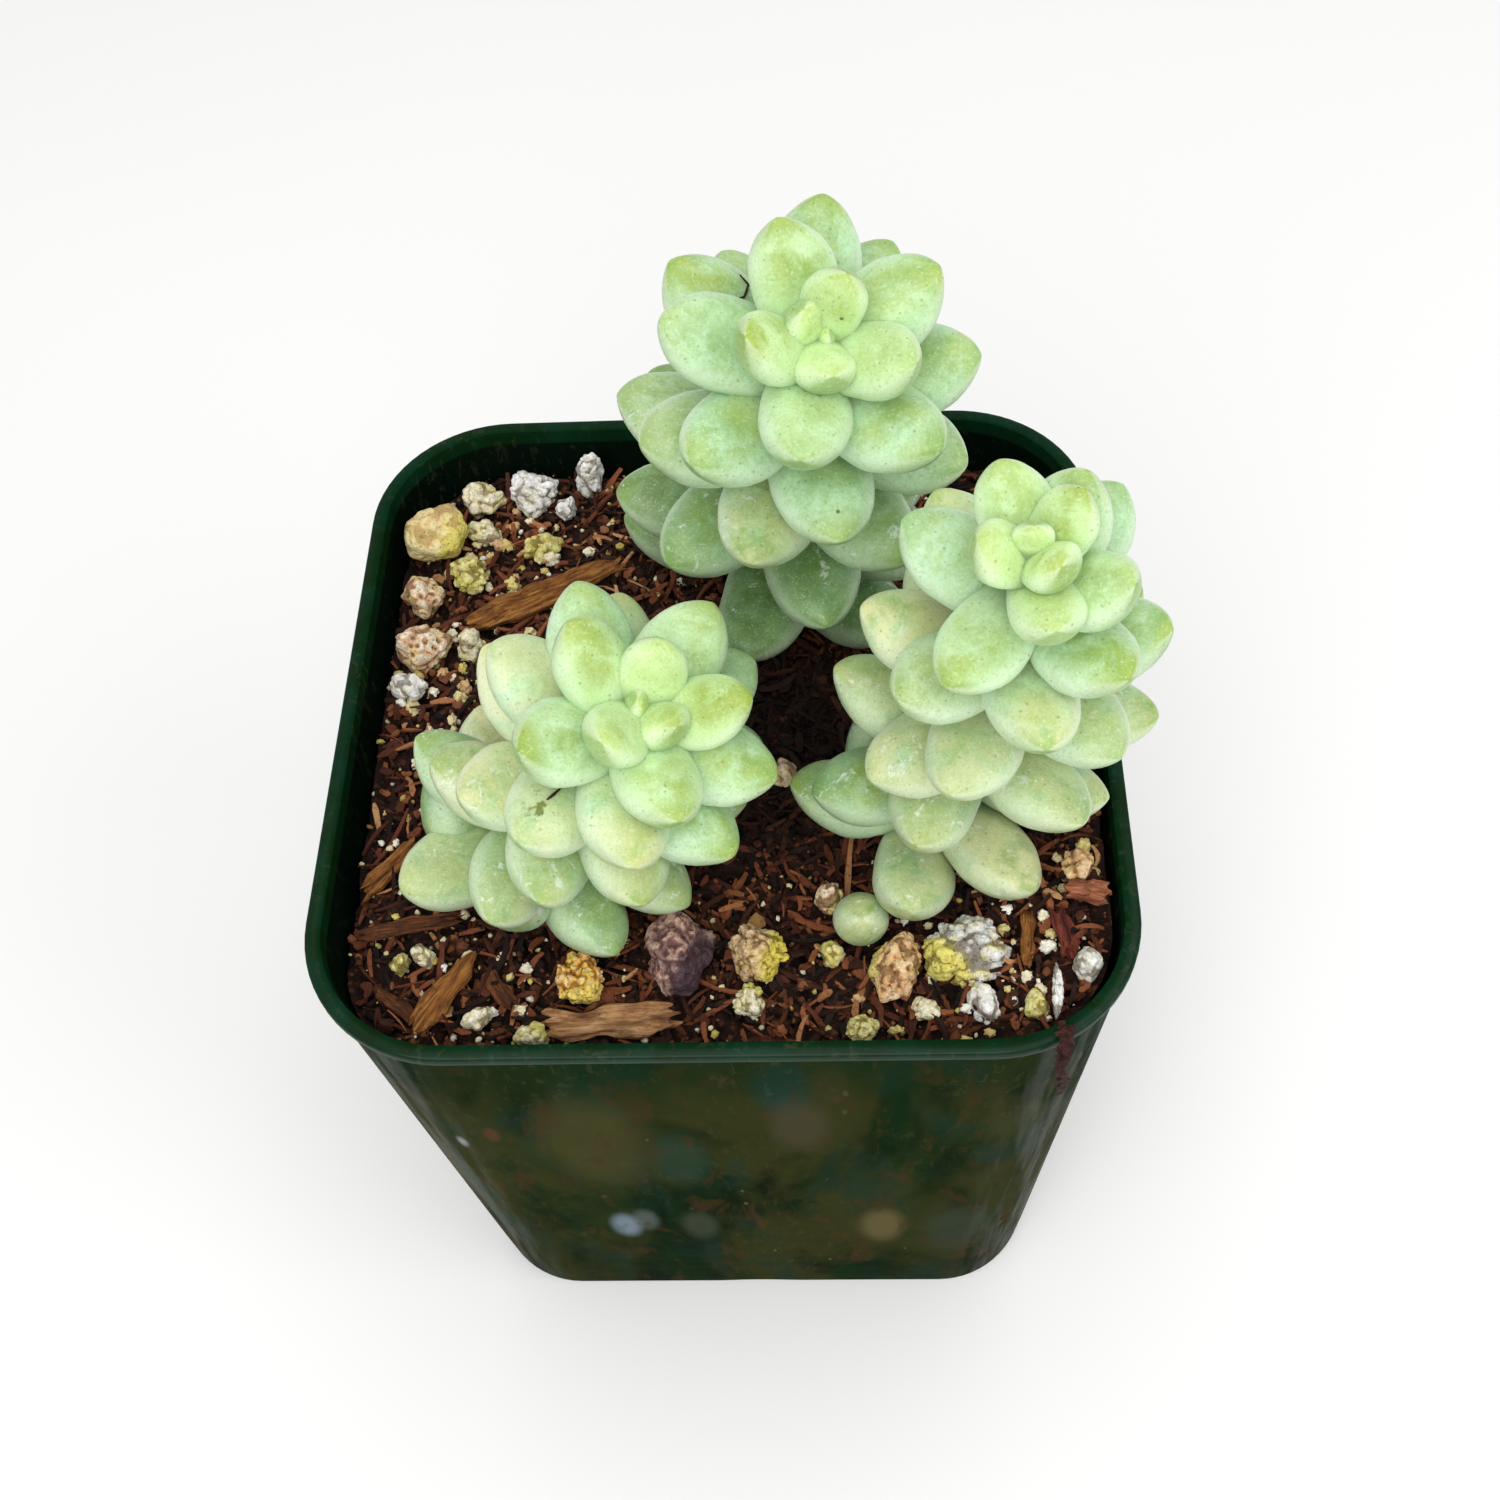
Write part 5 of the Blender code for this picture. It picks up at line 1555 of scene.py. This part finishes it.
@dataclass
class PottingMix:
    """The loose mix: a crumbly ground, shreds of bark and small crumbs lying on it."""

    corner_steps: int = 22
    side_steps: int = 30
    rings: int = 84
    shreds: int = 5200
    crumbs: int = 6000
    nuggets: int = 150
    sink: float = 0.55
    crumble: tuple[Pair, ...] = ((0.45, 0.8), (0.40, 1.9), (0.22, 4.2))
    void_depth: float = 1.6
    wall_gap: float = 0.3
    skirt: float = 4.0
    field: float = 31.0
    # Painted shade under the plant: its middle, its reach, and how much it darkens the shreds and crumbs
    # there.
    shade_middle: Pair = (4.0, -1.0)
    shade_reach: Pair = (10.0, 11.0)
    shade_strength: float = 0.88
    shred_spread: float = 0.55
    longest_shred: float = 3.8
    shred_width: Pair = (0.07, 0.27)
    shred_thickness: Pair = (0.06, 0.17)
    shred_tilt: float = 0.34
    shred_curl: float = 0.35
    shred_roll: float = 0.5
    shred_lift: Pair = (-1.0, 0.45)
    crumb_size: Pair = (-1.65, 0.45)
    nugget_size: Pair = (-0.95, 0.35)
    largest_bit: float = 0.7
    seed: int = 17
    nugget_homes: tuple[Triple, ...] = (
        (-21, 21, 4.5), (-21, 21, 4.5), (16, -26, 5), (22, -24, 4), (-20, -25, 6), (27, -14, 5), (-26, 4, 8),
        (-24, 12, 6), (-28, -2, 5), (-28, 8, 4))
    shred_at: float = 25.2
    shred_steps: int = 44
    shred_sides: int = 10
    shred_spokes: Triple = (0.46, 0.24, 0.14)
    over_rim: tuple[Pair, ...] = (
        (-2.2, 0.6), (-1.0, 0.7), (0.5, 0.55), (1.05, -1.2), (0.95, -3.2), (0.85, -5.6))

    def ground_height(self, x: float, y: float) -> float:
        """Return the height of the crumbly ground, with deep voids between its lumps; build_ground darkens
        them with painted shade.
        """
        spot = Vector((x, y, 0.0))
        crumble = octaves(spot, *self.crumble)
        void = max(0.0, noise.noise(spot * 0.55 + Vector((9, 4, 2)))) * self.void_depth
        return float(MIX.height(x, y)) - self.sink + crumble - void

    def build_ground(self, finish: Finish) -> Piece:
        """Return the ground, a closed body that fills the pot."""
        inset = POT.wall + self.wall_gap

        def outline(height: float) -> np.ndarray:
            """Return the mix's edge at a height."""
            return POT.outline(POT.half(height) - inset, POT.corner(height) - inset, self.corner_steps,
                               self.side_steps)

        rings = [np.column_stack((outline(height), np.full(len(outline(height)), height)))
                 for height in (POT.base_plate + self.wall_gap, MIX.level - self.skirt)]
        edge = outline(MIX.level)
        for ring in range(self.rings):
            flat = edge * (1 - ring / self.rings)
            rings.append(np.array([(x, y, self.ground_height(x, y)) for x, y in flat]))
        builder = bmesh.new()
        sweep(builder, rings)
        ground = finish_mesh("mix_ground", builder, finish, 60)
        heights = np.array([vert.co.z / MM - float(MIX.height(vert.co.x / MM, vert.co.y / MM))
                            for vert in ground.data.vertices])
        # Painted shade: the ground darkens where it lies low, in its voids.
        store(ground.data, "tone", np.clip(0.75 + heights * 0.55, 0, 1))
        seat_piece(ground, "soil", "soil")
        return ground

    def _spot(self, draw: random.Random, margin: float) -> Pair:
        """Return a random place inside the pot's wall."""
        while True:
            x, y = draw.uniform(-self.field, self.field), draw.uniform(-self.field, self.field)
            if within_wall(x, y, margin):
                return x, y

    def _light(self, x: float, y: float) -> float:
        """Return how pale the mix is at a place, from 0 in the painted shade of the middle, under the plant,
        to 1.
        """
        (middle_x, middle_y), (reach_x, reach_y) = self.shade_middle, self.shade_reach
        away = ((x - middle_x) / reach_x) ** 2 + ((y - middle_y) / reach_y) ** 2
        return 1 - self.shade_strength * math.exp(-away ** 2)

    def _covers_stone(self, x: float, y: float) -> bool:
        """Tell whether a place lies well over a stone or a chip."""
        for lump in LUMPS:
            reach = (lump.size[0] + lump.size[1]) / 4
            if math.hypot(x - lump.place[0], y - lump.place[1]) < reach * 0.85:
                return True
        for slab in SLABS:
            turn = math.radians(slab.turns[2])
            dx, dy = x - slab.place[0], y - slab.place[1]
            along = dx * math.cos(turn) + dy * math.sin(turn)
            beside = dy * math.cos(turn) - dx * math.sin(turn)
            if abs(along) < slab.size[0] * 0.46 and abs(beside) < slab.size[1] * 0.42:
                return True
        return False

    def build_shreds(self, finish: Finish) -> Piece:
        """Return the shreds of bark, curled and tangled on the ground."""
        draw = random.Random(self.seed)
        template = bmesh.new()
        bmesh.ops.create_cube(template, size=2)
        long_edges = [edge for edge in template.edges if abs(edge.verts[0].co.x - edge.verts[1].co.x) > 1]
        bmesh.ops.subdivide_edges(template, edges=long_edges, cuts=3, use_grid_fill=True)
        scatter = Scatter(template)
        shape = scatter.shape
        while len(scatter.places) < self.shreds:
            x, y = self._spot(draw, 0.9)
            length = min(draw.lognormvariate(0.0, self.shred_spread), self.longest_shred)
            width = draw.uniform(*self.shred_width) * (1 + 0.6 * (length < 0.9))
            thick = draw.uniform(*self.shred_thickness)
            yaw = draw.uniform(0, math.pi)
            pitch = draw.gauss(0, self.shred_tilt)
            ends = [(x + side * length * math.cos(yaw), y + side * length * math.sin(yaw))
                    for side in (-1, 1)]
            if self._covers_stone(x, y) or not all(within_wall(*end, 0.35) for end in ends):
                continue
            curl = draw.gauss(0, self.shred_curl)
            swing = draw.gauss(0, self.shred_curl)
            along = shape[:, 0]
            ragged = 1 - 0.45 * np.abs(along) ** 3 + 0.16 * np.sin(along * 7 + yaw * 9)
            arch = length * (along ** 2 - 0.4)
            local = np.column_stack((along * length, shape[:, 1] * width * ragged + swing * 0.5 * arch,
                                     shape[:, 2] * thick * ragged - curl * 0.35 * arch))
            turn = np.array((Matrix.Rotation(yaw, 3, "Z") @ Matrix.Rotation(pitch, 3, "Y")
                             @ Matrix.Rotation(draw.gauss(0, self.shred_roll), 3, "X")))
            lowest, highest = self.shred_lift
            lift = draw.uniform(lowest, highest)
            points = local @ turn.T + np.array((x, y, float(MIX.height(x, y)) + lift))
            # Painted shade: lower-lying shreds, and those under the plant, are darker.
            open_to_light = 0.35 + 0.65 * (lift - lowest) / (highest - lowest)
            tone = draw.random() ** 1.2 * open_to_light * self._light(x, y)
            scatter.lay(points, tone)
        shreds = scatter.build("mix_shreds", finish)
        seat_piece(shreds, "soil")
        return shreds

    def build_crumbs(self, finish: Finish) -> Piece:
        """Return the crumbs of bark, pumice and perlite between the shreds."""
        draw = random.Random(self.seed + 1)
        template = bmesh.new()
        bmesh.ops.create_icosphere(template, subdivisions=1, radius=1)
        scatter = Scatter(template)
        for _ in range(self.crumbs):
            x, y = self._spot(draw, 0.5)
            size = min(draw.lognormvariate(*self.crumb_size), self.largest_bit)
            uneven = np.array([draw.uniform(0.7, 1.25) for _ in scatter.shape])[:, None]
            stretch = np.array([draw.uniform(0.65, 1.3) for _ in range(3)])
            turn = np.array(Euler([draw.uniform(0, 6) for _ in range(3)]).to_matrix())
            points = (scatter.shape * uneven * stretch * size) @ turn.T
            points += np.array((x, y, float(MIX.height(x, y)) + draw.uniform(-0.6, 0.35)))
            # Painted shade: crumbs under the plant are darker.
            scatter.lay(points, draw.random() * self._light(x, y))
        crumbs = scatter.build("mix_crumbs", finish)
        seat_piece(crumbs, "soil")
        return crumbs

    def build_nuggets(self, finish: Finish) -> Piece:
        """Return the small pale nuggets of pumice and perlite, most of them at the left and the front."""
        draw = random.Random(self.seed + 2)
        template = bmesh.new()
        bmesh.ops.create_icosphere(template, subdivisions=3, radius=1)
        scatter = Scatter(template)
        while len(scatter.places) < self.nuggets:
            home = draw.choice(self.nugget_homes)
            x, y = draw.gauss(home[0], home[2]), draw.gauss(home[1], home[2])
            if not within_wall(x, y, 1.0) or self._covers_stone(x, y) or self._light(x, y) < 0.6:
                continue
            size = min(draw.lognormvariate(*self.nugget_size), self.largest_bit)
            shift = noise_corner(draw)
            knobbly = np.array([0.55 + 0.75 * (1 - noise.voronoi(Vector(way) * 1.7 + shift)[0][0])
                                + 0.3 * noise.noise(Vector(way) * 1.2 + shift)
                                for way in scatter.shape])[:, None]
            stretch = np.array([draw.uniform(0.7, 1.25) for _ in range(3)])
            points = scatter.shape * knobbly * stretch * size
            points += np.array((x, y, float(MIX.height(x, y)) + size * draw.uniform(0.1, 0.6)))
            scatter.lay(points, draw.random())
        nuggets = scatter.build("mix_nuggets", finish)
        seat_piece(nuggets, "perlite")
        return nuggets

    def build_shred(self, finish: Finish) -> Piece:
        """Return the one ragged shred that hangs over the rim."""
        route = np.array(self.over_rim)
        stations = np.linspace(0, len(route) - 1, self.shred_steps)
        rings = []
        for station in stations:
            out, up = (float(np.interp(station, np.arange(len(route)), column)) for column in route.T)
            middle = np.array((self.shred_at + 0.25 * math.sin(station * 1.9), -POT.rim_half - out,
                               POT.height + up))
            ends = min(1.0, 0.3 + 1.6 * min(station, len(route) - 1 - station)) * (1.25 - 0.13 * station)
            ring = []
            for side in range(self.shred_sides):
                angle = 2 * math.pi * side / self.shred_sides
                spoke = np.array((math.cos(angle), math.sin(angle), math.sin(angle))) * self.shred_spokes
                rough = 1 + 1.3 * noise.noise(Vector((math.cos(angle), math.sin(angle), station * 3.4)))
                ring.append(middle + spoke * ends * rough)
            rings.append(np.array(ring))
        builder = bmesh.new()
        sweep(builder, rings)
        shred = finish_mesh("bark_shred_chip", builder, finish, 50)
        places = np.array([vert.co for vert in shred.data.vertices]) / MM
        store_vectors(shred.data, "grain", places[:, [2, 0, 1]])
        seat_piece(shred, "bark", "bark_shred")
        return shred


# The plant


@dataclass
class LeafyStem:
    """One stem: its stalk and its leaves in one skin."""

    plan: StemPlan
    growth: Growth
    leaf_sides: int = 32
    leaf_rings: int = 28
    stalk_sides: int = 18
    stalk_steps: int = 26
    root_radius: float = 1.9
    root_depth: float = 11.0
    collar_depth: float = 0.6
    stalk_knots: float = 0.16
    lumpiness: float = 0.13
    skew: float = 0.035
    crisp_angle: float = 75.0
    marks: tuple[str, ...] = ("leaf_share", "leaf_side", "leaf_rise", "leaf_age", "leaf_tone", "leaf_tan",
                              "leaf_dim")
    # The stalk's marks, in the same order: its low share, its low rise and a dim of 0.6 darken it with
    # painted shade.
    stalk_marks: tuple[float, ...] = (0.12, 0.9, -0.2, 0.95, 0.5, 0.5, 0.6)
    bud_plumpness: float = 0.55
    plump_buds: int = 3
    low_leaf: tuple[Triple, ...] = ((10.9, -17.9, 61.6), (10.9, -20.4, 66.2))
    low_leaf_girth: Pair = (0.80, 0.84)

    def build(self, finish: Finish) -> Piece:
        """Return the finished stem."""
        builder = bmesh.new()
        sweep(builder, self._stalk_rings())
        stalk_count = len(builder.verts)
        ball = unit_ball(self.leaf_sides, self.leaf_rings)
        shape = np.array([vert.co for vert in ball.verts])
        template = bpy.data.meshes.new("leaf_template")
        ball.to_mesh(template)
        ball.free()
        leaves = self.growth.leaves[self.plan.name]
        for _ in leaves:
            builder.from_mesh(template)
        bpy.data.meshes.remove(template)
        skins = [self.leaf_skin(leaf, shape) for leaf in leaves]
        builder.verts.ensure_lookup_table()
        for vert, point in zip(builder.verts[stalk_count:], np.concatenate([skin[0] for skin in skins])):
            vert.co = point * MM
        plant = finish_mesh(self.plan.name + "_plant", builder, finish, self.crisp_angle)
        marks = np.concatenate([np.tile(self.stalk_marks, (stalk_count, 1))] + [skin[1] for skin in skins])
        for name, values in zip(self.marks, marks.T):
            store(plant.data, name, values)
        seat_piece(plant, "leaf", self.plan.name)
        return plant

    def _stalk_rings(self) -> list[np.ndarray]:
        """Return the stalk's rings, from its buried end to its tip."""
        foot, up = self.growth.stalk_point(self.plan, 1)
        rings = [ring_about(foot - up * self.root_depth, up, self.root_radius * 0.6, self.stalk_sides),
                 ring_about(foot - up * self.collar_depth, up, self.root_radius, self.stalk_sides)]
        for step in range(self.stalk_steps + 1):
            share = 1 - step / self.stalk_steps
            centre, up = self.growth.stalk_point(self.plan, share)
            radius = self.growth.stalk_radius(self.plan, share)
            ring = ring_about(centre, up, radius, self.stalk_sides)
            spokes = np.array([noise.noise(Vector(point) * 0.8) for point in ring])[:, None]
            rings.append(centre + (ring - centre) * (1 + self.stalk_knots * spokes))
        return rings

    def build_low_leaf(self, finish: Finish) -> Piece:
        """Return the loose end of a leaf that shows between the stones."""
        root, tip = (np.array(place) for place in self.low_leaf)
        along = unit(tip - root)
        across = np.array((1.0, 0.0, 0.0))
        length = float(np.linalg.norm(tip - root))
        thickness, width = (length * share for share in self.low_leaf_girth)
        leaf = LeafFrame(root, along, across, np.cross(along, across), length, width, thickness, 1.0,
                         self.plan.leaves)
        builder = unit_ball(self.leaf_sides, self.leaf_rings)
        ball = np.array([vert.co for vert in builder.verts])
        _, marks = self.leaf_skin(leaf, ball)
        radii = np.array((leaf.thickness, leaf.width, length)) / 2
        points = (root + tip) / 2 + (ball * radii) @ np.array((-leaf.upper, across, along))
        for vert, point in zip(builder.verts, points):
            vert.co = point * MM
        piece = finish_mesh("leaf_low_skin", builder, finish, self.crisp_angle)
        for name, values in zip(self.marks, marks.T):
            store(piece.data, name, values)
        seat_piece(piece, "leaf", "leaf_low")
        return piece

    def leaf_skin(self, leaf: LeafFrame, ball: np.ndarray) -> tuple[np.ndarray, np.ndarray]:
        """Return one leaf's points, a little uneven and skewed, and the marks that its finish reads."""
        draw = random.Random(f"{self.plan.name} {leaf.age}")
        share = (ball[:, 2] + 1) / 2
        points = LEAF.points(leaf, ball)
        skew = draw.uniform(-self.skew, self.skew) * leaf.length * np.sin(share * math.pi) ** 2
        points += np.outer(skew, leaf.across)
        shift = noise_corner(draw, 60)
        lump = np.array([noise.noise(Vector(point) * 0.32 + shift)
                         + 0.35 * noise.noise(Vector(point) * 0.9 + shift) for point in points])
        out = points - leaf.root - np.outer(share * leaf.length, leaf.along)
        far = np.linalg.norm(out, axis=1)
        points += out * (self.lumpiness * lump * np.minimum(1, far) / np.maximum(far, 0.05))[:, None]
        points += out * self.bud_plumpness * max(0.0, 1 - leaf.age / self.plump_buds)
        ring = np.maximum(np.hypot(ball[:, 0], ball[:, 1]), 1e-6)
        every = np.ones(len(ball))
        age = leaf.age / self.plan.leaves
        tan = self.plan.tan.get(leaf.age, 0.0)
        # Painted shade on the lower leaves, stored as the dim mark.
        dim = self.plan.lower_leaf_shade * float(smooth_step((age - 0.5) / 0.35))
        marks = np.column_stack((share, ball[:, 1] / ring, -ball[:, 0] / ring, every * age,
                                 every * draw.random(), every * tan, every * dim))
        return points, marks


@dataclass(frozen=True)
class Twig:
    """A dark dry thread that has fallen on the leaves: the places that it passes, and its radius."""

    name: str
    places: tuple[Triple, ...]
    radius: float = 0.10
    steps: int = 9
    sides: int = 7

    def build(self, finish: Finish) -> Piece:
        """Return the twig, thinner at both ends."""
        route = np.array(self.places)
        stations = np.linspace(0, len(route) - 1, self.steps)
        line = np.array([[float(np.interp(station, np.arange(len(route)), column)) for column in route.T]
                         for station in stations])
        rings = []
        for index, middle in enumerate(line):
            along = unit(line[min(index + 1, len(line) - 1)] - line[max(index - 1, 0)])
            reach = self.radius * (0.4 + 0.6 * math.sin(math.pi * (index + 0.5) / len(line)))
            rings.append(ring_about(middle, along, reach, self.sides))
        builder = bmesh.new()
        sweep(builder, rings)
        twig = finish_mesh(self.name, builder, finish, 60)
        store_vectors(twig.data, "grain", np.array([vert.co for vert in twig.data.vertices]) / MM)
        seat_piece(twig, "bark")
        return twig


TWIGS = (
    Twig("twig_back", ((3.1, 13.4, 100.2), (3.7, 12.8, 99.8), (3.55, 12.2, 99.65), (3.4, 11.6, 99.75),
                       (2.7, 11.1, 99.95))),
    Twig("twig_fork", ((3.65, 12.75, 99.75), (4.1, 12.6, 99.7), (4.3, 12.2, 99.5)), 0.07),
    Twig("twig_scar", ((-10.2, -17.6, 81.35), (-10.7, -18.3, 81.5), (-11.1, -18.8, 81.65)), 0.11),
)


# The studio


@dataclass(frozen=True)
class Viewpoint:
    """The photograph's camera: where it looks, from how far, and how it is turned, in degrees."""

    lens: float = 42.815
    sensor: float = 36.0
    yaw: float = 5.22
    pitch: float = 56.28
    roll: float = -5.51
    distance: float = 147.45
    aim_height: float = 67.01
    aim_right: float = 1.781
    aim_up: float = -4.49

    def build(self) -> Piece:
        """Return the camera, and make it the scene's."""
        yaw, pitch, roll = (math.radians(angle) for angle in (self.yaw, self.pitch, self.roll))
        back = Vector((math.sin(yaw) * math.cos(pitch), -math.cos(yaw) * math.cos(pitch), math.sin(pitch)))
        level = (-back).cross(Vector((0, 0, 1))).normalized()
        lift = level.cross(-back)
        aim = Vector((0, 0, self.aim_height)) + level * self.aim_right + lift * self.aim_up
        right = level * math.cos(roll) + lift * math.sin(roll)
        up = lift * math.cos(roll) - level * math.sin(roll)
        lens = bpy.data.cameras.new("camera")
        lens.lens = self.lens
        lens.sensor_width = self.sensor
        lens.clip_start = 0.005
        camera = add_object("camera", lens)
        turn = Matrix((right, up, back)).transposed().to_4x4()
        camera.matrix_world = Matrix.Translation((aim + back * self.distance) * MM) @ turn
        bpy.context.scene.camera = camera
        return camera


@dataclass(frozen=True)
class SoftLight:
    """A square soft light that faces the plant."""

    name: str
    place: Triple
    size: float
    power: float
    tint: Triple = (1.0, 1.0, 1.0)
    aim: Triple = (0.0, 0.0, 0.06)

    def build(self) -> None:
        """Add the light."""
        lamp = bpy.data.lights.new(self.name, "AREA")
        lamp.shape = "SQUARE"
        lamp.size = self.size
        lamp.energy = self.power
        lamp.color = self.tint
        holder = add_object(self.name, lamp)
        holder.location = self.place
        throw = Vector(self.aim) - Vector(self.place)
        holder.rotation_euler = throw.to_track_quat("-Z", "Y").to_euler()


@dataclass(frozen=True)
class Studio:
    """Pale floor, white surroundings and soft lights."""

    floor_size: float = 4.0
    floor_shade: Colour = (0.87, 0.87, 0.866, 1.0)
    air: float = 0.58
    lights: tuple[SoftLight, ...] = (
        SoftLight("key", (-0.08, -0.44, 0.62), 0.60, 3.4, (1.0, 0.995, 0.98)),
        SoftLight("over", (0.02, 0.12, 0.75), 0.50, 1.1),
        SoftLight("fill", (0.50, -0.20, 0.45), 0.40, 1.0),
    )

    def build(self) -> None:
        """Add the floor, the surroundings and the lights."""
        scene = bpy.context.scene
        scene.view_settings.view_transform = "Standard"
        world = bpy.data.worlds.new("surroundings")
        world.use_nodes = True
        sky = world.node_tree.nodes["Background"]
        sky.inputs["Color"].default_value = (1, 1, 1, 1)
        sky.inputs["Strength"].default_value = self.air
        scene.world = world
        finish, wires, shader = new_finish("floor_paper")
        cloud = wires.noise(wires.millimetres(), 0.01, 2.0)
        shade = tuple(value * 0.99 for value in self.floor_shade[:3]) + (1.0,)
        wires.feed(shader.inputs["Base Color"], wires.mix(cloud, self.floor_shade, shade))
        shader.inputs["Roughness"].default_value = 0.9
        shader.inputs["Specular IOR Level"].default_value = 0.1
        builder = bmesh.new()
        bmesh.ops.create_grid(builder, x_segments=1, y_segments=1, size=self.floor_size / 2)
        floor = finish_mesh("floor", builder, finish)
        for light in self.lights:
            light.build()


def main() -> None:
    """Build the scene, piece by piece."""
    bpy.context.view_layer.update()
    Viewpoint().build()
    Studio().build()
    effects = Effects()
    NurseryPot().build(PotPlastic().make(effects))
    mix = PottingMix()
    mix.build_ground(MixKind.DARK.value.make(effects))
    mix.build_shreds(MixKind.FIBRE.value.make(effects))
    mix.build_crumbs(MixKind.GRAINS.value.make(effects))
    mix.build_nuggets(MixKind.PALE.value.make(effects))
    stone_finishes = {kind.name: kind.value.make(effects) for kind in StoneKind}
    bark_finishes = {kind.name: kind.value.make(effects) for kind in BarkKind}
    mix.build_shred(bark_finishes["RUSSET"])
    carver = StoneCarver()
    for lump in LUMPS:
        carver.build(lump, stone_finishes[lump.kind])
    carver.build(HUSK, stone_finishes[HUSK.kind], stands_for_node=False)
    splitter = BarkCarver()
    for slab in SLABS:
        splitter.build(slab, bark_finishes[slab.kind])
    growth = Growth(STEMS)
    skin = LeafSkin("leaf_skin", bloom=paint(188, 222, 184), flesh=paint(118, 158, 66),
                    ripe=paint(164, 182, 76), young=paint(206, 234, 162), shade=paint(116, 158, 100))
    leaf_finish = skin.make(effects)
    for plan in STEMS:
        LeafyStem(plan, growth).build(leaf_finish)
    LeafyStem(STEMS[-1], growth).build_low_leaf(leaf_finish)
    for twig in TWIGS:
        twig.build(bark_finishes["RUSSET"])


if __name__ == "__main__":
    logging.basicConfig(level=logging.INFO)
    main()
